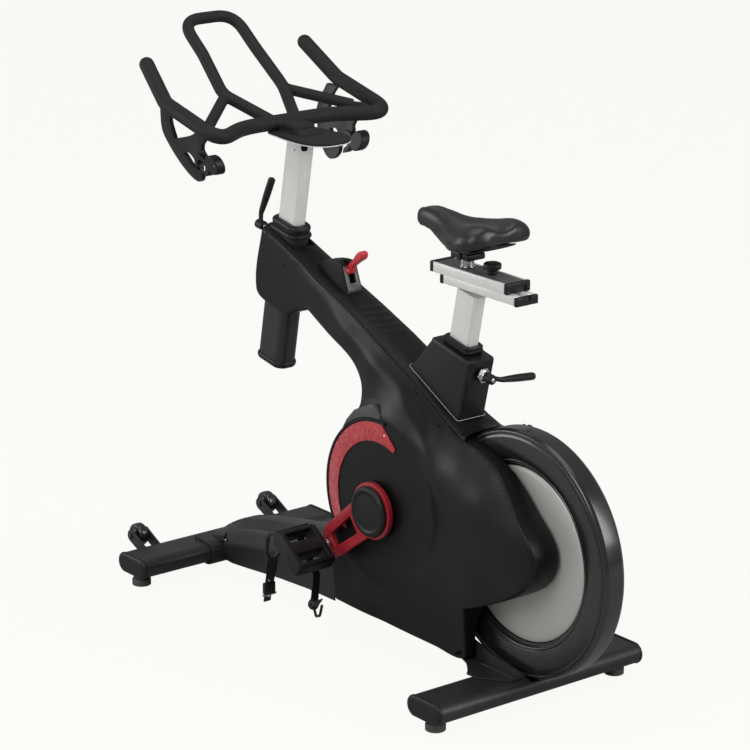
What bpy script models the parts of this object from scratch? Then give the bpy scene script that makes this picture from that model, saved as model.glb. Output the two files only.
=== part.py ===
"""Indoor spin bike with a rear flywheel, as an assembly of separate parts.

Metres, +Z up, +X forwards to the handlebar, +Y to the rider's left, floor at z = 0.
The geometry is written with the crank axis at x = 0. Each part is parented to a joint,
and the joints are shifted by -CENTRE_X so that the origin is under the middle of the bike.
"""
import math
from typing import NamedTuple

import bmesh
import bpy
import numpy as np
from mathutils import Matrix, Vector
from mathutils.geometry import delaunay_2d_cdt


class LeaningAxis(NamedTuple):
    """A line in the XZ plane through (x, z), moving by slope in x per unit of z."""
    x: float
    z: float
    slope: float

    def x_at(self, z):
        return self.x + self.slope * (z - self.z)

    def section(self, loop, z):
        """The (u, v) loop laid square to the axis at height z: u in the XZ plane, v along Y."""
        length = math.hypot(1.0, self.slope)
        u_x, u_z = 1.0 / length, -self.slope / length
        return [(self.x_at(z) + u * u_x, v, z + u * u_z) for u, v in loop]

    def sections(self, loop, levels):
        return [self.section(loop, z) for z in levels]


# ---------------------------------------------------------------- driving dimensions
GAP = 0.0003                           # clearance between neighbouring parts
SIDES = ((1, "left"), (-1, "right"))   # sign of y, label
X_AXIS, Y_AXIS, Z_AXIS = (1, 0, 0), (0, 1, 0), (0, 0, 1)

CRANK_Z = 0.312
CRANK_ARM = 0.170                      # crank axis to pedal axis
CRANK_ANGLE = math.radians(-38.1)      # left arm, from +X towards +Z
WHEEL_X, WHEEL_Z = -0.352, 0.304
WHEEL_R, WHEEL_HALF_WIDTH = 0.2450, 0.0265
PULLEY_R, SMALL_PULLEY_R = 0.105, 0.030
BELT_Y, BELT_HALF_WIDTH = -0.059, 0.006
BAR_FRONT_X, BAR_REAR_X = 0.630, -0.353
BAR_Z, BAR_HALF_X, BAR_HALF_Z = 0.046, 0.050, 0.020
BAR_TOP = BAR_Z + BAR_HALF_Z
POST_HALF_X, POST_HALF_Y, POST_CHAMFER = 0.030, 0.015, 0.005
HEAD = LeaningAxis(x=0.397, z=0.800, slope=-0.180)
SEAT = LeaningAxis(x=-0.153, z=0.682, slope=-0.2126)
SHELL_THICKNESS = 0.003
BELT_COVER_Z, BELT_COVER_R, BELT_COVER_Y = 0.333, 0.164, 0.088
TRANSPORT_X, TRANSPORT_Y, TRANSPORT_Z, TRANSPORT_R = 0.722, 0.171, 0.0735, 0.0245
HEAD_CLAMP_Z = 0.776                   # stud of the handlebar clamp
SEAT_CLAMP_Z = 0.622                   # stud of the seat clamp
SEAT_CLAMP_X = SEAT.x_at(SEAT_CLAMP_Z) - 0.0353
CENTRE_X = 0.5 * (TRANSPORT_X + TRANSPORT_R + WHEEL_X - WHEEL_R)

# ---------------------------------------------------------------- the scene
for old_object in list(bpy.data.objects):
    bpy.data.objects.remove(old_object, do_unlink=True)
PARTS = bpy.data.collections.new("spin_bike")
CUTTERS = bpy.data.collections.new("cutters")
bpy.context.scene.collection.children.link(PARTS)
bpy.context.scene.collection.children.link(CUTTERS)


def material(name, colour, roughness, metallic=0.0):
    made = bpy.data.materials.new(name)
    made.use_nodes = True
    made.diffuse_color = (*colour, 1.0)
    shader = made.node_tree.nodes["Principled BSDF"]
    shader.inputs["Base Color"].default_value = (*colour, 1.0)
    shader.inputs["Roughness"].default_value = roughness
    shader.inputs["Metallic"].default_value = metallic
    return made


SHELL = material("shell_black", colour=(0.014, 0.014, 0.015), roughness=0.42)
PAINT = material("frame_paint", colour=(0.032, 0.032, 0.034), roughness=0.45)
PLASTIC = material("moulded_black", colour=(0.020, 0.020, 0.021), roughness=0.55)
GRIP = material("grip_black", colour=(0.035, 0.035, 0.037), roughness=0.75)
ALUMINIUM = material("post_aluminium", colour=(0.62, 0.62, 0.60), roughness=0.35, metallic=0.9)
STEEL = material("machined_steel", colour=(0.55, 0.55, 0.55), roughness=0.3, metallic=1.0)
SILVER = material("disc_silver", colour=(0.27, 0.27, 0.255), roughness=0.42, metallic=0.6)
RED = material("arm_red", colour=(0.42, 0.018, 0.026), roughness=0.35)
GLOSS_BLACK = material("wheel_black", colour=(0.016, 0.016, 0.018), roughness=0.25)
RUBBER = material("rubber_grey", colour=(0.09, 0.09, 0.09), roughness=0.8)
BELT = material("belt_rubber", colour=(0.012, 0.012, 0.012), roughness=0.85)
LEATHER = material("saddle_black", colour=(0.018, 0.018, 0.020), roughness=0.35)
GREY = material("housing_grey", colour=(0.055, 0.056, 0.060), roughness=0.4)


# ---------------------------------------------------------------- objects and modifiers
def new_object(name, bm):
    mesh = bpy.data.meshes.new(name)
    bm.to_mesh(mesh)
    bm.free()
    made = bpy.data.objects.new(name, mesh)
    CUTTERS.objects.link(made)
    return made


def outward_object(name, bm):
    bmesh.ops.recalc_face_normals(bm, faces=bm.faces)
    return new_object(name, bm)


def remove(source):
    bpy.data.objects.remove(source, do_unlink=True)


def evaluated_mesh(source):
    bpy.context.view_layer.update()
    graph = bpy.context.evaluated_depsgraph_get()
    return bpy.data.meshes.new_from_object(source.evaluated_get(graph), depsgraph=graph)


def baked(source):
    """Replaces an object by the closed mesh that its modifiers or its curve make."""
    mesh = evaluated_mesh(source)
    mesh.transform(source.matrix_world)
    bm = bmesh.new()
    bm.from_mesh(mesh)
    bmesh.ops.remove_doubles(bm, verts=bm.verts, dist=2e-6)
    name = source.name
    remove(source)
    bpy.data.meshes.remove(mesh)
    return outward_object(name, bm)


def modified(source, kind, **settings):
    modifier = source.modifiers.new(kind, kind)
    for key, value in settings.items():
        setattr(modifier, key, value)
    return modifier


def thickened(sheet):
    """The sheet given the shell thickness on its inner side."""
    modified(sheet, "SOLIDIFY", thickness=SHELL_THICKNESS, offset=-1.0, use_even_offset=True)
    return baked(sheet)


def boolean(target, tool, operation):
    modifier = modified(target, "BOOLEAN", operation=operation, object=tool, solver="EXACT")
    mesh = evaluated_mesh(target)
    target.modifiers.remove(modifier)
    old = target.data
    target.data = mesh
    bpy.data.meshes.remove(old)
    remove(tool)


def union(first, *others):
    for other in others:
        boolean(first, other, "UNION")
    return first


def cut(target, *tools):
    for tool in tools:
        boolean(target, tool, "DIFFERENCE")
    return target


def remapped(source, place, reverse=False, keep=False):
    """A copy with each vertex at place(x, y, z); the source is removed unless kept."""
    bm = bmesh.new()
    bm.from_mesh(source.data)
    for vert in bm.verts:
        vert.co = place(*vert.co)
    if reverse:
        bmesh.ops.reverse_faces(bm, faces=bm.faces)
    made = new_object(source.name, bm)
    if not keep:
        remove(source)
    return made


def mirrored_y(source, keep=False):
    return remapped(source, lambda x, y, z: (x, -y, z), reverse=True, keep=keep)


def on_side(side, source):
    """A left-hand object, moved to the right if side is -1."""
    return source if side > 0 else mirrored_y(source)


def turned_about_y(source, angle, centre_x, centre_z, keep=False):
    """Turned about the Y line through the centre; a positive angle takes +X towards +Z."""
    c, s = math.cos(angle), math.sin(angle)

    def place(x, y, z):
        dx, dz = x - centre_x, z - centre_z
        return centre_x + c * dx - s * dz, y, centre_z + s * dx + c * dz

    return remapped(source, place, keep=keep)


# ---------------------------------------------------------------- loops and paths
def arc(centre_x, centre_z, radius, start, end, count):
    """count + 1 points from start to end, in degrees."""
    angles = [math.radians(start + (end - start) * i / count) for i in range(count + 1)]
    return [(centre_x + radius * math.cos(t), centre_z + radius * math.sin(t)) for t in angles]


def offset(loop, x, z):
    return [(x + u, z + v) for u, v in loop]


def stadium(half_u, half_v, steps):
    """Flat-oval loop with ends of radius half_v."""
    loop = []
    for end, start in ((1, -math.pi / 2), (-1, math.pi / 2)):
        for i in range(steps + 1):
            t = start + math.pi * i / steps
            loop.append((end * (half_u - half_v) + half_v * math.cos(t), half_v * math.sin(t)))
    return loop


def rounded(half_u, half_v, radius, steps):
    """Rounded-rectangle loop."""
    loop = []
    for corner_u, corner_v, start in ((1, 1, 0), (-1, 1, 90), (-1, -1, 180), (1, -1, 270)):
        for i in range(steps + 1):
            t = math.radians(start + 90 * i / steps)
            loop.append((corner_u * (half_u - radius) + radius * math.cos(t),
                         corner_v * (half_v - radius) + radius * math.sin(t)))
    return loop


def chamfered(a, b, c):
    """Rectangle loop of half sizes a and b with corners cut by c."""
    return [(a, b - c), (a - c, b), (-a + c, b), (-a, b - c),
            (-a, -b + c), (-a + c, -b), (a - c, -b), (a, -b + c)]


def fillet_path(points, radius, segments):
    """A polyline with each inner corner rounded; radius is one number or one per point."""
    points = [Vector(p) for p in points]
    radii = radius if isinstance(radius, list) else [radius] * len(points)
    path = [points[0]]
    for i in range(1, len(points) - 1):
        before, here, after = points[i - 1], points[i], points[i + 1]
        back, ahead = (before - here).normalized(), (after - here).normalized()
        reach = min(radii[i] / math.tan(back.angle(ahead) / 2), 0.48 * (before - here).length,
                    0.48 * (after - here).length)
        start, end = here + back * reach, here + ahead * reach
        for k in range(segments + 1):
            t = k / segments
            path.append((1 - t) ** 2 * start + 2 * t * (1 - t) * here + t ** 2 * end)
    path.append(points[-1])
    return path


def symmetric_path(left_half, segments):
    """Filleted path of (x, y, z, corner radius) rows, carried on by its mirror image in Y."""
    rows = left_half + [(x, -y, z, r) for x, y, z, r in reversed(left_half)]
    return fillet_path([row[:3] for row in rows], [row[3] for row in rows], segments)


def y_span(side, near, far):
    """Low and high y of a span given outwards from the middle plane."""
    return sorted((side * near, side * far))


# ---------------------------------------------------------------- solids
def box(low, high, bevel=0.0):
    bm = bmesh.new()
    bmesh.ops.create_cube(bm, size=1.0)
    size = Vector(high) - Vector(low)
    centre = (Vector(high) + Vector(low)) / 2
    for vert in bm.verts:
        vert.co = Vector([a * b for a, b in zip(vert.co, size)]) + centre
    if bevel:
        bmesh.ops.bevel(bm, geom=list(bm.edges), offset=bevel, segments=1,
                        profile=0.5, affect="EDGES")
    return new_object("box", bm)


def turn_from_z(axis):
    return Vector(Z_AXIS).rotation_difference(Vector(axis).normalized()).to_matrix().to_4x4()


def cylinder(start, end, radius, segments):
    start, end = Vector(start), Vector(end)
    bm = bmesh.new()
    bmesh.ops.create_cone(bm, cap_ends=True, segments=segments, radius1=radius,
                          radius2=radius, depth=(end - start).length)
    bm.transform(Matrix.Translation((start + end) / 2) @ turn_from_z(end - start))
    return new_object("cylinder", bm)


def cylinder_y(x, z, y_start, y_end, radius, segments):
    return cylinder((x, y_start, z), (x, y_end, z), radius, segments)


def turned(profile, centre, steps, axis=Y_AXIS, ring=False):
    """(radius, height) points turned about an axis through centre; ring closes the profile."""
    mesh = bpy.data.meshes.new("profile")
    count = len(profile)
    edges = [(i, i + 1) for i in range(count - 1)] + ([(count - 1, 0)] if ring else [])
    mesh.from_pydata([(r, 0.0, h) for r, h in profile], edges, [])
    made = bpy.data.objects.new("turned", mesh)
    CUTTERS.objects.link(made)
    modified(made, "SCREW", axis="Z", steps=steps, render_steps=steps,
             use_merge_vertices=True, merge_threshold=1e-5)
    made = baked(made)
    made.data.transform(Matrix.Translation(centre) @ turn_from_z(axis))
    return made


def new_curve(name, dimensions, loops, cyclic):
    """A poly curve object through the loops of 3D points."""
    curve = bpy.data.curves.new(name, "CURVE")
    curve.dimensions = dimensions
    for loop in loops:
        spline = curve.splines.new("POLY")
        spline.points.add(len(loop) - 1)
        for point, co in zip(spline.points, loop):
            point.co = (*co, 1.0)
        spline.use_cyclic_u = cyclic
    made = bpy.data.objects.new(name, curve)
    CUTTERS.objects.link(made)
    return made


def plate(outline, y_low, y_high, holes=()):
    """A flat plate with an (x, z) outline, drawn as a filled 2D curve."""
    loops = [[(x, z, 0.0) for x, z in loop] for loop in (outline, *holes)]
    made = new_curve("plate", "2D", loops, cyclic=True)
    made.data.fill_mode = "BOTH"
    made.data.extrude = (y_high - y_low) / 2
    made.rotation_euler = (math.pi / 2, 0, 0)
    made.location = (0, (y_low + y_high) / 2, 0)
    return baked(made)


def level_plate(outline, z_low, z_high):
    """A flat plate with an (x, y) outline."""
    return remapped(plate(outline, z_low, z_high), lambda x, y, z: (x, z, y), reverse=True)


def tube(path, radius, resolution):
    made = new_curve("tube", "3D", [path], cyclic=False)
    made.data.bevel_depth = radius
    made.data.bevel_resolution = resolution
    made.data.use_fill_caps = True
    return baked(made)


def add_skin(bm, loops, closed=True):
    """Adds quads between equal-length loops and returns the rows of vertices."""
    rows = [[bm.verts.new(p) for p in loop] for loop in loops]
    count = len(rows[0])
    for first, second in zip(rows, rows[1:]):
        for i in range(count if closed else count - 1):
            j = (i + 1) % count
            bm.faces.new((first[i], first[j], second[j], second[i]))
    return rows


def loft(loops):
    """A solid skinned over loops, with end caps."""
    bm = bmesh.new()
    rows = add_skin(bm, loops)
    bm.faces.new(rows[0])
    bm.faces.new(rows[-1])
    return outward_object("loft", bm)


def ring_loft(outer_loops, inner_loops):
    """A hollow loft: outer and inner skins joined at both ends."""
    bm = bmesh.new()
    outer = add_skin(bm, outer_loops)
    inner = add_skin(bm, inner_loops)
    count = len(outer[0])
    for end in (0, -1):
        for i in range(count):
            j = (i + 1) % count
            bm.faces.new((outer[end][i], outer[end][j], inner[end][j], inner[end][i]))
    return outward_object("ring", bm)


def roof(name, rows):
    """A thick sheet over open rows of points, its outer face up."""
    bm = bmesh.new()
    add_skin(bm, rows, closed=False)
    made = outward_object(name, bm)
    middle_strip = (len(rows[0]) - 1) // 2
    if made.data.polygons[middle_strip].normal.z < 0:
        made.data.flip_normals()
    return thickened(made)


def ribbon(path, half_width, half_thickness):
    """A flat strap along a path, its width kept as near to Y as the path allows."""
    path = [Vector(p) for p in path]
    rows = []
    for i, point in enumerate(path):
        along = (path[min(i + 1, len(path) - 1)] - path[max(i - 1, 0)]).normalized()
        wide = Vector(Y_AXIS) - along * along.y
        wide.normalize()
        out = along.cross(wide).normalized()
        rows.append([point + wide * a * half_width + out * b * half_thickness
                     for a, b in ((1, 1), (-1, 1), (-1, -1), (1, -1))])
    return loft(rows)


# ---------------------------------------------------------------- joints and parts
def joint(name, pivot):
    """An empty at the pivot, for parts to hang from."""
    pivot = Vector(pivot)
    origin = bpy.data.objects.new(f"{name}_joint", None)
    origin.empty_display_size = 0.03
    origin.location = pivot - Vector((CENTRE_X, 0.0, 0.0))
    PARTS.objects.link(origin)
    return origin, pivot


def part(name, source, finish, owner):
    """Names, finishes and parents a piece, with its mesh written relative to the pivot."""
    origin, pivot = owner
    mesh = source.data
    source.name = name
    mesh.name = name
    mesh.materials.clear()
    mesh.materials.append(finish)
    for polygon in mesh.polygons:
        polygon.material_index = 0
    mesh.shade_smooth()
    mesh.set_sharp_from_angle(angle=math.radians(34))
    mesh.transform(Matrix.Translation(-pivot))
    CUTTERS.objects.unlink(source)
    PARTS.objects.link(source)
    source.parent = origin


FRAME = joint("frame", (CENTRE_X, 0.0, 0.0))

# ---------------------------------------------------------------- stabilisers and feet
BAR_WALL = 0.0025
FOOT_Y, FOOT_R = 0.228, 0.020
FOOT_HOLE_R, FOOT_NECK_R = 0.0058, 0.013
FOOT_PEG_R, FOOT_PEG_TOP = 0.005, 0.038
FOOT_NECK_TOP = BAR_Z - BAR_HALF_Z - GAP
WHEEL_CLEARANCE = 0.004
EAR_INNER, EAR_THICKNESS = 0.0165, 0.004      # ears either side of a transport wheel
EAR_ROOT_X, EAR_ROOT_HALF_Z = BAR_FRONT_X + 0.030, 0.012
# Front end of an ear: x, z from the wheel axis.
EAR_NOSE = [(0.002, -0.014), (0.012, -0.008), (0.013, 0.006), (0.004, 0.013), (-0.012, 0.012)]
TRANSPORT_AXLE_R, TRANSPORT_AXLE_HALF = 0.0045, 0.018
# End cap: distance out from the bar end, inset of the outline.
END_CAP_ROWS = ((0.0, 0.0), (0.004, 0.0006), (0.0077, 0.005))


def bar_section(bar_x, growth):
    """Stabiliser outline in (x, z), grown or shrunk all round."""
    return offset(stadium(BAR_HALF_X + growth, BAR_HALF_Z + growth, 8), bar_x, BAR_Z)


def add_transport_ears(bar):
    ear_outline = [(EAR_ROOT_X, BAR_Z + EAR_ROOT_HALF_Z), (EAR_ROOT_X, BAR_Z - EAR_ROOT_HALF_Z)]
    ear_outline += offset(EAR_NOSE, TRANSPORT_X, TRANSPORT_Z)
    for side, _ in SIDES:
        middle = side * TRANSPORT_Y
        for face in (EAR_INNER, -EAR_INNER - EAR_THICKNESS):
            union(bar, plate(ear_outline, middle + face, middle + face + EAR_THICKNESS))
        union(bar, cylinder_y(TRANSPORT_X, TRANSPORT_Z, middle - TRANSPORT_AXLE_HALF,
                              middle + TRANSPORT_AXLE_HALF, TRANSPORT_AXLE_R, 12))


def end_cap(bar_x, side, bar_half):
    end_y = side * (bar_half + GAP)
    cap = loft([[(bar_x + u, end_y + side * out, BAR_Z + v)
                 for u, v in stadium(BAR_HALF_X + 0.001 - inset, BAR_HALF_Z + 0.002 - inset, 6)]
                for out, inset in END_CAP_ROWS])
    plug = loft([[(x, y, z) for x, z in bar_section(bar_x, -BAR_WALL - GAP)]
                 for y in (end_y + side * 0.002, end_y - side * 0.010)])
    return union(cap, plug)


def foot(bar_x, side):
    profile = [(0.0, 0.0), (FOOT_R, 0.0), (FOOT_R, 0.0140), (FOOT_NECK_R, 0.0150),
               (FOOT_NECK_R, FOOT_NECK_TOP), (FOOT_PEG_R, FOOT_NECK_TOP),
               (FOOT_PEG_R, FOOT_PEG_TOP), (0.0, FOOT_PEG_TOP)]
    return turned(profile, (bar_x, side * FOOT_Y, 0.0), 16, axis=Z_AXIS)


def build_stabiliser(where, bar_x, half):
    bar = plate(bar_section(bar_x, 0.0), -half, half, [bar_section(bar_x, -BAR_WALL)])
    for side, _ in SIDES:
        foot_y = side * FOOT_Y
        cut(bar, cylinder((bar_x, foot_y, 0.01), (bar_x, foot_y, 0.035), FOOT_HOLE_R, 12))
    if where == "rear":
        cut(bar, cylinder_y(WHEEL_X, WHEEL_Z, -0.030, 0.030, WHEEL_R + WHEEL_CLEARANCE, 64))
    else:
        add_transport_ears(bar)
    part(f"{where}_stabiliser", bar, PAINT, FRAME)
    for side, label in SIDES:
        part(f"end_cap_{where}_{label}", end_cap(bar_x, side, half), PLASTIC, FRAME)
        name = f"foot_{where}_{label}"
        part(name, foot(bar_x, side), RUBBER, joint(name, (bar_x, side * FOOT_Y, 0.0)))


def build_transport_wheels():
    # One half of the profile: radius, distance from the middle of the wheel.
    half = [(0.0050, 0.0125), (0.011, 0.0125), (TRANSPORT_R - 0.002, 0.010), (TRANSPORT_R, 0.007)]
    profile = [(r, -h) for r, h in half] + half[::-1]
    for side, label in SIDES:
        name = f"transport_wheel_{label}"
        centre = (TRANSPORT_X, side * TRANSPORT_Y, TRANSPORT_Z)
        part(name, turned(profile, centre, 20, ring=True), GLOSS_BLACK, joint(name, centre))


# ---------------------------------------------------------------- main frame
HUB_BORE_R = 0.0218
AXLE_BORE_R = 0.0103                   # flywheel and its bearings, round the axle
BRACKET_BORE_R = 0.0228
WRAP_THICKNESS = 0.0065                # of the saddle that wraps the front stabiliser
# Lower beam: x, half width, bottom z, top z.
BEAM_STATIONS = ((0.5770, 0.036, 0.030, 0.058), (0.540, 0.036, 0.030, 0.076),
                 (0.300, 0.034, 0.066, 0.128), (0.100, 0.034, 0.086, 0.160),
                 (-0.055, 0.034, 0.086, 0.160))
# Upright with its arm forward to the head tube: x, z.
COLUMN_HALF_WIDTH = 0.0250
COLUMN_OUTLINE = [
    (0.055, 0.120), (0.060, 0.300), (0.055, 0.420), (0.068, 0.530), (0.108, 0.582),
    (0.152, 0.602), (0.225, 0.631), (0.299, 0.660), (0.3790, 0.664), (0.3700, 0.712),
    (0.060, 0.612), (-0.020, 0.575), (-0.028, 0.420), (-0.034, 0.300), (-0.055, 0.120)]
# Rails beside the flywheel: x, z.
RAIL_OUTLINE = [
    (0.050, 0.100), (0.050, 0.160), (0.010, 0.270), (-0.250, 0.330), (-0.320, 0.352),
    (-0.384, 0.352), (-0.402, 0.304), (-0.384, 0.262), (-0.320, 0.250), (-0.150, 0.190),
    (-0.190, 0.110), (-0.240, 0.1045), (-0.300, 0.0905), (-0.385, 0.078), (-0.385, 0.0695),
    (-0.200, 0.0695), (-0.050, 0.086)]
# Level plate on the rear stabiliser, left side: x, y.
PAD_INNER_Y = 0.0325
BASE_PLATE_OUTLINE = [
    (-0.385, PAD_INNER_Y), (-0.385, 0.072), (-0.340, 0.108), (-0.305, 0.112), (-0.290, 0.097),
    (-0.262, 0.077), (-0.225, 0.063), (-0.180, 0.056), (-0.150, 0.050), (-0.150, PAD_INNER_Y)]
# Gusset between the column and the seat sleeve: x, z.
GUSSET_OUTLINE = [(-0.020, 0.470), (-0.020, 0.570), (-0.085, 0.545), (-0.105, 0.500),
                  (-0.080, 0.470)]
POST_BORE = chamfered(POST_HALF_X + GAP, POST_HALF_Y + GAP, POST_CHAMFER)


def bar_wrap():
    """Saddle over the rear upper part of the front stabiliser."""
    wrap = plate(bar_section(BAR_FRONT_X, WRAP_THICKNESS), -0.080, 0.080,
                 [bar_section(BAR_FRONT_X, GAP)])
    return cut(wrap, box((BAR_FRONT_X + 0.012, -0.1, 0.0), (BAR_FRONT_X + 0.08, 0.1, 0.1)),
               box((BAR_FRONT_X - 0.024, -0.1, 0.0), (BAR_FRONT_X + 0.03, 0.1, BAR_Z - 0.0120)))


def add_frame_side(frame_body, side):
    """Rail, web, hub boss and pads on one side of the flywheel."""
    rail = plate(RAIL_OUTLINE, *y_span(side, 0.0400, 0.0460))
    web_low, web_high = y_span(side, 0.0270, 0.0405)
    web = box((0.0, web_low, 0.100), (0.045, web_high, 0.158))
    boss = cylinder_y(WHEEL_X, WHEEL_Z, side * 0.0375, side * 0.0490, 0.027, 24)
    pad_low, pad_high = y_span(side, PAD_INNER_Y, 0.0600)
    pad = box((-0.385, pad_low, BAR_TOP + GAP), (-0.285, pad_high, BAR_TOP + 0.0055))
    base_plate = level_plate([(x, side * y) for x, y in BASE_PLATE_OUTLINE],
                             BAR_TOP + GAP, BAR_TOP + 0.0037)
    union(frame_body, rail, web, boss, pad, base_plate)
    cut(frame_body, cylinder_y(WHEEL_X, WHEEL_Z, side * 0.030, side * 0.060, HUB_BORE_R, 24))


def build_main_frame():
    beam = loft([[(x, y, z) for y, z in ((w, low), (w, high), (-w, high), (-w, low))]
                 for x, w, low, high in BEAM_STATIONS])
    wrap = bar_wrap()
    column = plate(COLUMN_OUTLINE, -COLUMN_HALF_WIDTH, COLUMN_HALF_WIDTH)
    frame_body = union(beam, wrap, column)
    union(frame_body, cylinder_y(0, CRANK_Z, -0.0375, 0.0375, 0.030, 24))
    for side, _ in SIDES:
        add_frame_side(frame_body, side)
    sleeve = loft(SEAT.sections(rounded(0.0345, 0.0195, 0.008, 2), (0.445, 0.664)))
    union(frame_body, plate(GUSSET_OUTLINE, -0.012, 0.012), sleeve)
    cut(frame_body, loft(SEAT.sections(POST_BORE, (0.430, 0.700))),
        cylinder_y(0, CRANK_Z, -0.05, 0.05, BRACKET_BORE_R, 24))
    part("main_frame", frame_body, PAINT, FRAME)


def bush(inner, outer, half_width, centre):
    """A plain ring about the Y axis."""
    profile = [(inner, -half_width), (outer, -half_width), (outer, half_width),
               (inner, half_width)]
    return turned(profile, centre, 24, ring=True)


def build_bearings():
    bracket = bush(0.0115, BRACKET_BORE_R - GAP, 0.0372, (0, 0, CRANK_Z))
    part("bottom_bracket_cartridge", bracket, STEEL, FRAME)
    for side, label in SIDES:
        bearing = bush(AXLE_BORE_R, HUB_BORE_R - GAP, 0.005, (WHEEL_X, side * 0.0432, WHEEL_Z))
        part(f"flywheel_bearing_{label}", bearing, STEEL, FRAME)


# ---------------------------------------------------------------- head tube
HEAD_TUBE_LEVELS = (0.5090, 0.7810)
# Rounded sections: half size along, half size across, corner radius, z on the axis.
HEAD_END_CAP_ROWS = ((0.040, 0.0235, 0.018, 0.4960), (0.0435, 0.0270, 0.020, 0.4980),
                     (0.0435, 0.0270, 0.020, 0.5075), (0.0425, 0.0260, 0.019, 0.5087))
HEAD_COLLAR_ROWS = (
    (0.0440, 0.0275, 0.020, 0.7817), (0.0440, 0.0275, 0.020, 0.7895),
    (0.0415, 0.0250, 0.019, 0.7910), (0.0415, 0.0250, 0.019, 0.7945),
    (0.0425, 0.0260, 0.020, 0.7955), (0.0425, 0.0260, 0.020, 0.8045),
    (0.0400, 0.0240, 0.018, 0.8070))


def head_loops(rows):
    return [HEAD.section(rounded(a, b, radius, 3), z) for a, b, radius, z in rows]


def build_head():
    bore = rounded(POST_HALF_X + GAP, POST_HALF_Y + GAP, 0.004, 3)
    head_tube = ring_loft(HEAD.sections(rounded(0.041, 0.0245, 0.018, 3), HEAD_TUBE_LEVELS),
                          HEAD.sections(bore, HEAD_TUBE_LEVELS))
    part("head_tube", head_tube, PAINT, FRAME)
    part("head_tube_end_cap", loft(head_loops(HEAD_END_CAP_ROWS)), PLASTIC, FRAME)
    collar = ring_loft(head_loops(HEAD_COLLAR_ROWS),
                       HEAD.sections(bore, [row[-1] for row in HEAD_COLLAR_ROWS]))
    part("head_collar", collar, PLASTIC, FRAME)


# ---------------------------------------------------------------- side shells
SHELL_PITCH = 0.048                    # spacing of the surface grid
# Seam between the spine cover and the side shells: x, z, half width.
SEAM = [(0.452, 0.7915, 0.037), (0.435, 0.785, 0.037), (0.293, 0.732, 0.038),
        (0.150, 0.677, 0.043), (0.058, 0.638, 0.047), (-0.060, 0.585, 0.0485),
        (-0.163, 0.5275, 0.051), (-0.205, 0.511, 0.054)]
SEAM_X, SEAM_Z, SEAM_HALF_WIDTH = zip(*reversed(SEAM))
# Points of the left side surface: x, z, y.
SURFACE = [
    (0.446, 0.785, 0.037), (0.476, 0.653, 0.037), (0.380, 0.620, 0.037), (0.435, 0.700, 0.037),
    (0.360, 0.700, 0.038), (0.293, 0.730, 0.038), (0.300, 0.645, 0.039), (0.283, 0.690, 0.043),
    (0.150, 0.675, 0.043), (0.160, 0.630, 0.053), (0.160, 0.570, 0.050), (0.058, 0.636, 0.047),
    (0.060, 0.590, 0.062), (0.098, 0.540, 0.060), (-0.040, 0.592, 0.0485), (-0.047, 0.545, 0.070),
    (0.030, 0.530, 0.072), (0.086, 0.480, 0.076), (-0.163, 0.525, 0.051), (-0.150, 0.490, 0.078),
    (-0.249, 0.493, 0.060), (-0.235, 0.455, 0.085), (-0.323, 0.457, 0.072), (-0.310, 0.420, 0.093),
    (-0.391, 0.4117, 0.085), (-0.370, 0.380, 0.097), (-0.450, 0.362, 0.093),
    (-0.425, 0.330, 0.098), (-0.455, 0.310, 0.093), (-0.420, 0.270, 0.093),
    (-0.100, 0.430, 0.087), (0.0, 0.500, 0.084), (0.164, 0.333, 0.086), (0.000, 0.333, 0.088),
    (-0.175, 0.333, 0.0915), (-0.280, 0.330, 0.100), (0.130, 0.220, 0.086), (0.000, 0.170, 0.088),
    (-0.150, 0.220, 0.0915), (-0.290, 0.230, 0.096), (0.137, 0.080, 0.080), (0.000, 0.100, 0.081),
    (-0.150, 0.110, 0.081), (-0.240, 0.120, 0.080), (-0.250, 0.050, 0.078),
    (-0.100, 0.073, 0.079), (-0.345, 0.215, 0.088), (-0.250, 0.172, 0.087),
]
# Left shell outline behind and below the seam, then up the front to the belt cover:
# x, z, y of the inner edge.
OUTLINE_REAR = [
    (-0.262, 0.497, 0.030), (-0.333, 0.471, 0.030), (-0.375, 0.441, 0.030),
    (-0.412, 0.406, 0.030), (-0.452, 0.369, 0.030), (-0.467, 0.342, 0.030),
    (-0.468, 0.318, 0.030), (-0.455, 0.288, 0.030), (-0.434, 0.265, 0.030),
    (-0.400, 0.243, 0.030), (-0.344, 0.215, 0.030), (-0.299, 0.195, 0.030),
    (-0.262, 0.180, 0.030), (-0.257, 0.140, 0.050), (-0.257, 0.078, 0.050),
    (-0.245, 0.070, 0.062), (-0.160, 0.0705, 0.062), (-0.060, 0.0715, 0.062),
    (0.040, 0.0735, 0.062), (0.150, 0.0765, 0.062), (0.154, 0.120, 0.050),
    (0.157, 0.165, 0.050), (0.149, 0.215, GAP)]
# From the belt cover forwards under the neck and up the head: x, z.
OUTLINE_FRONT = [
    (0.086, 0.500), (0.094, 0.540), (0.118, 0.568), (0.152, 0.588), (0.225, 0.616),
    (0.299, 0.645), (0.325, 0.637), (0.380, 0.618), (0.443, 0.630), (0.470, 0.643),
    (0.476, 0.655), (0.452, 0.786)]


def seam_z(x):
    return float(np.interp(x, SEAM_X, SEAM_Z))


def seam_half_width(x):
    return float(np.interp(x, SEAM_X, SEAM_HALF_WIDTH))


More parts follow.
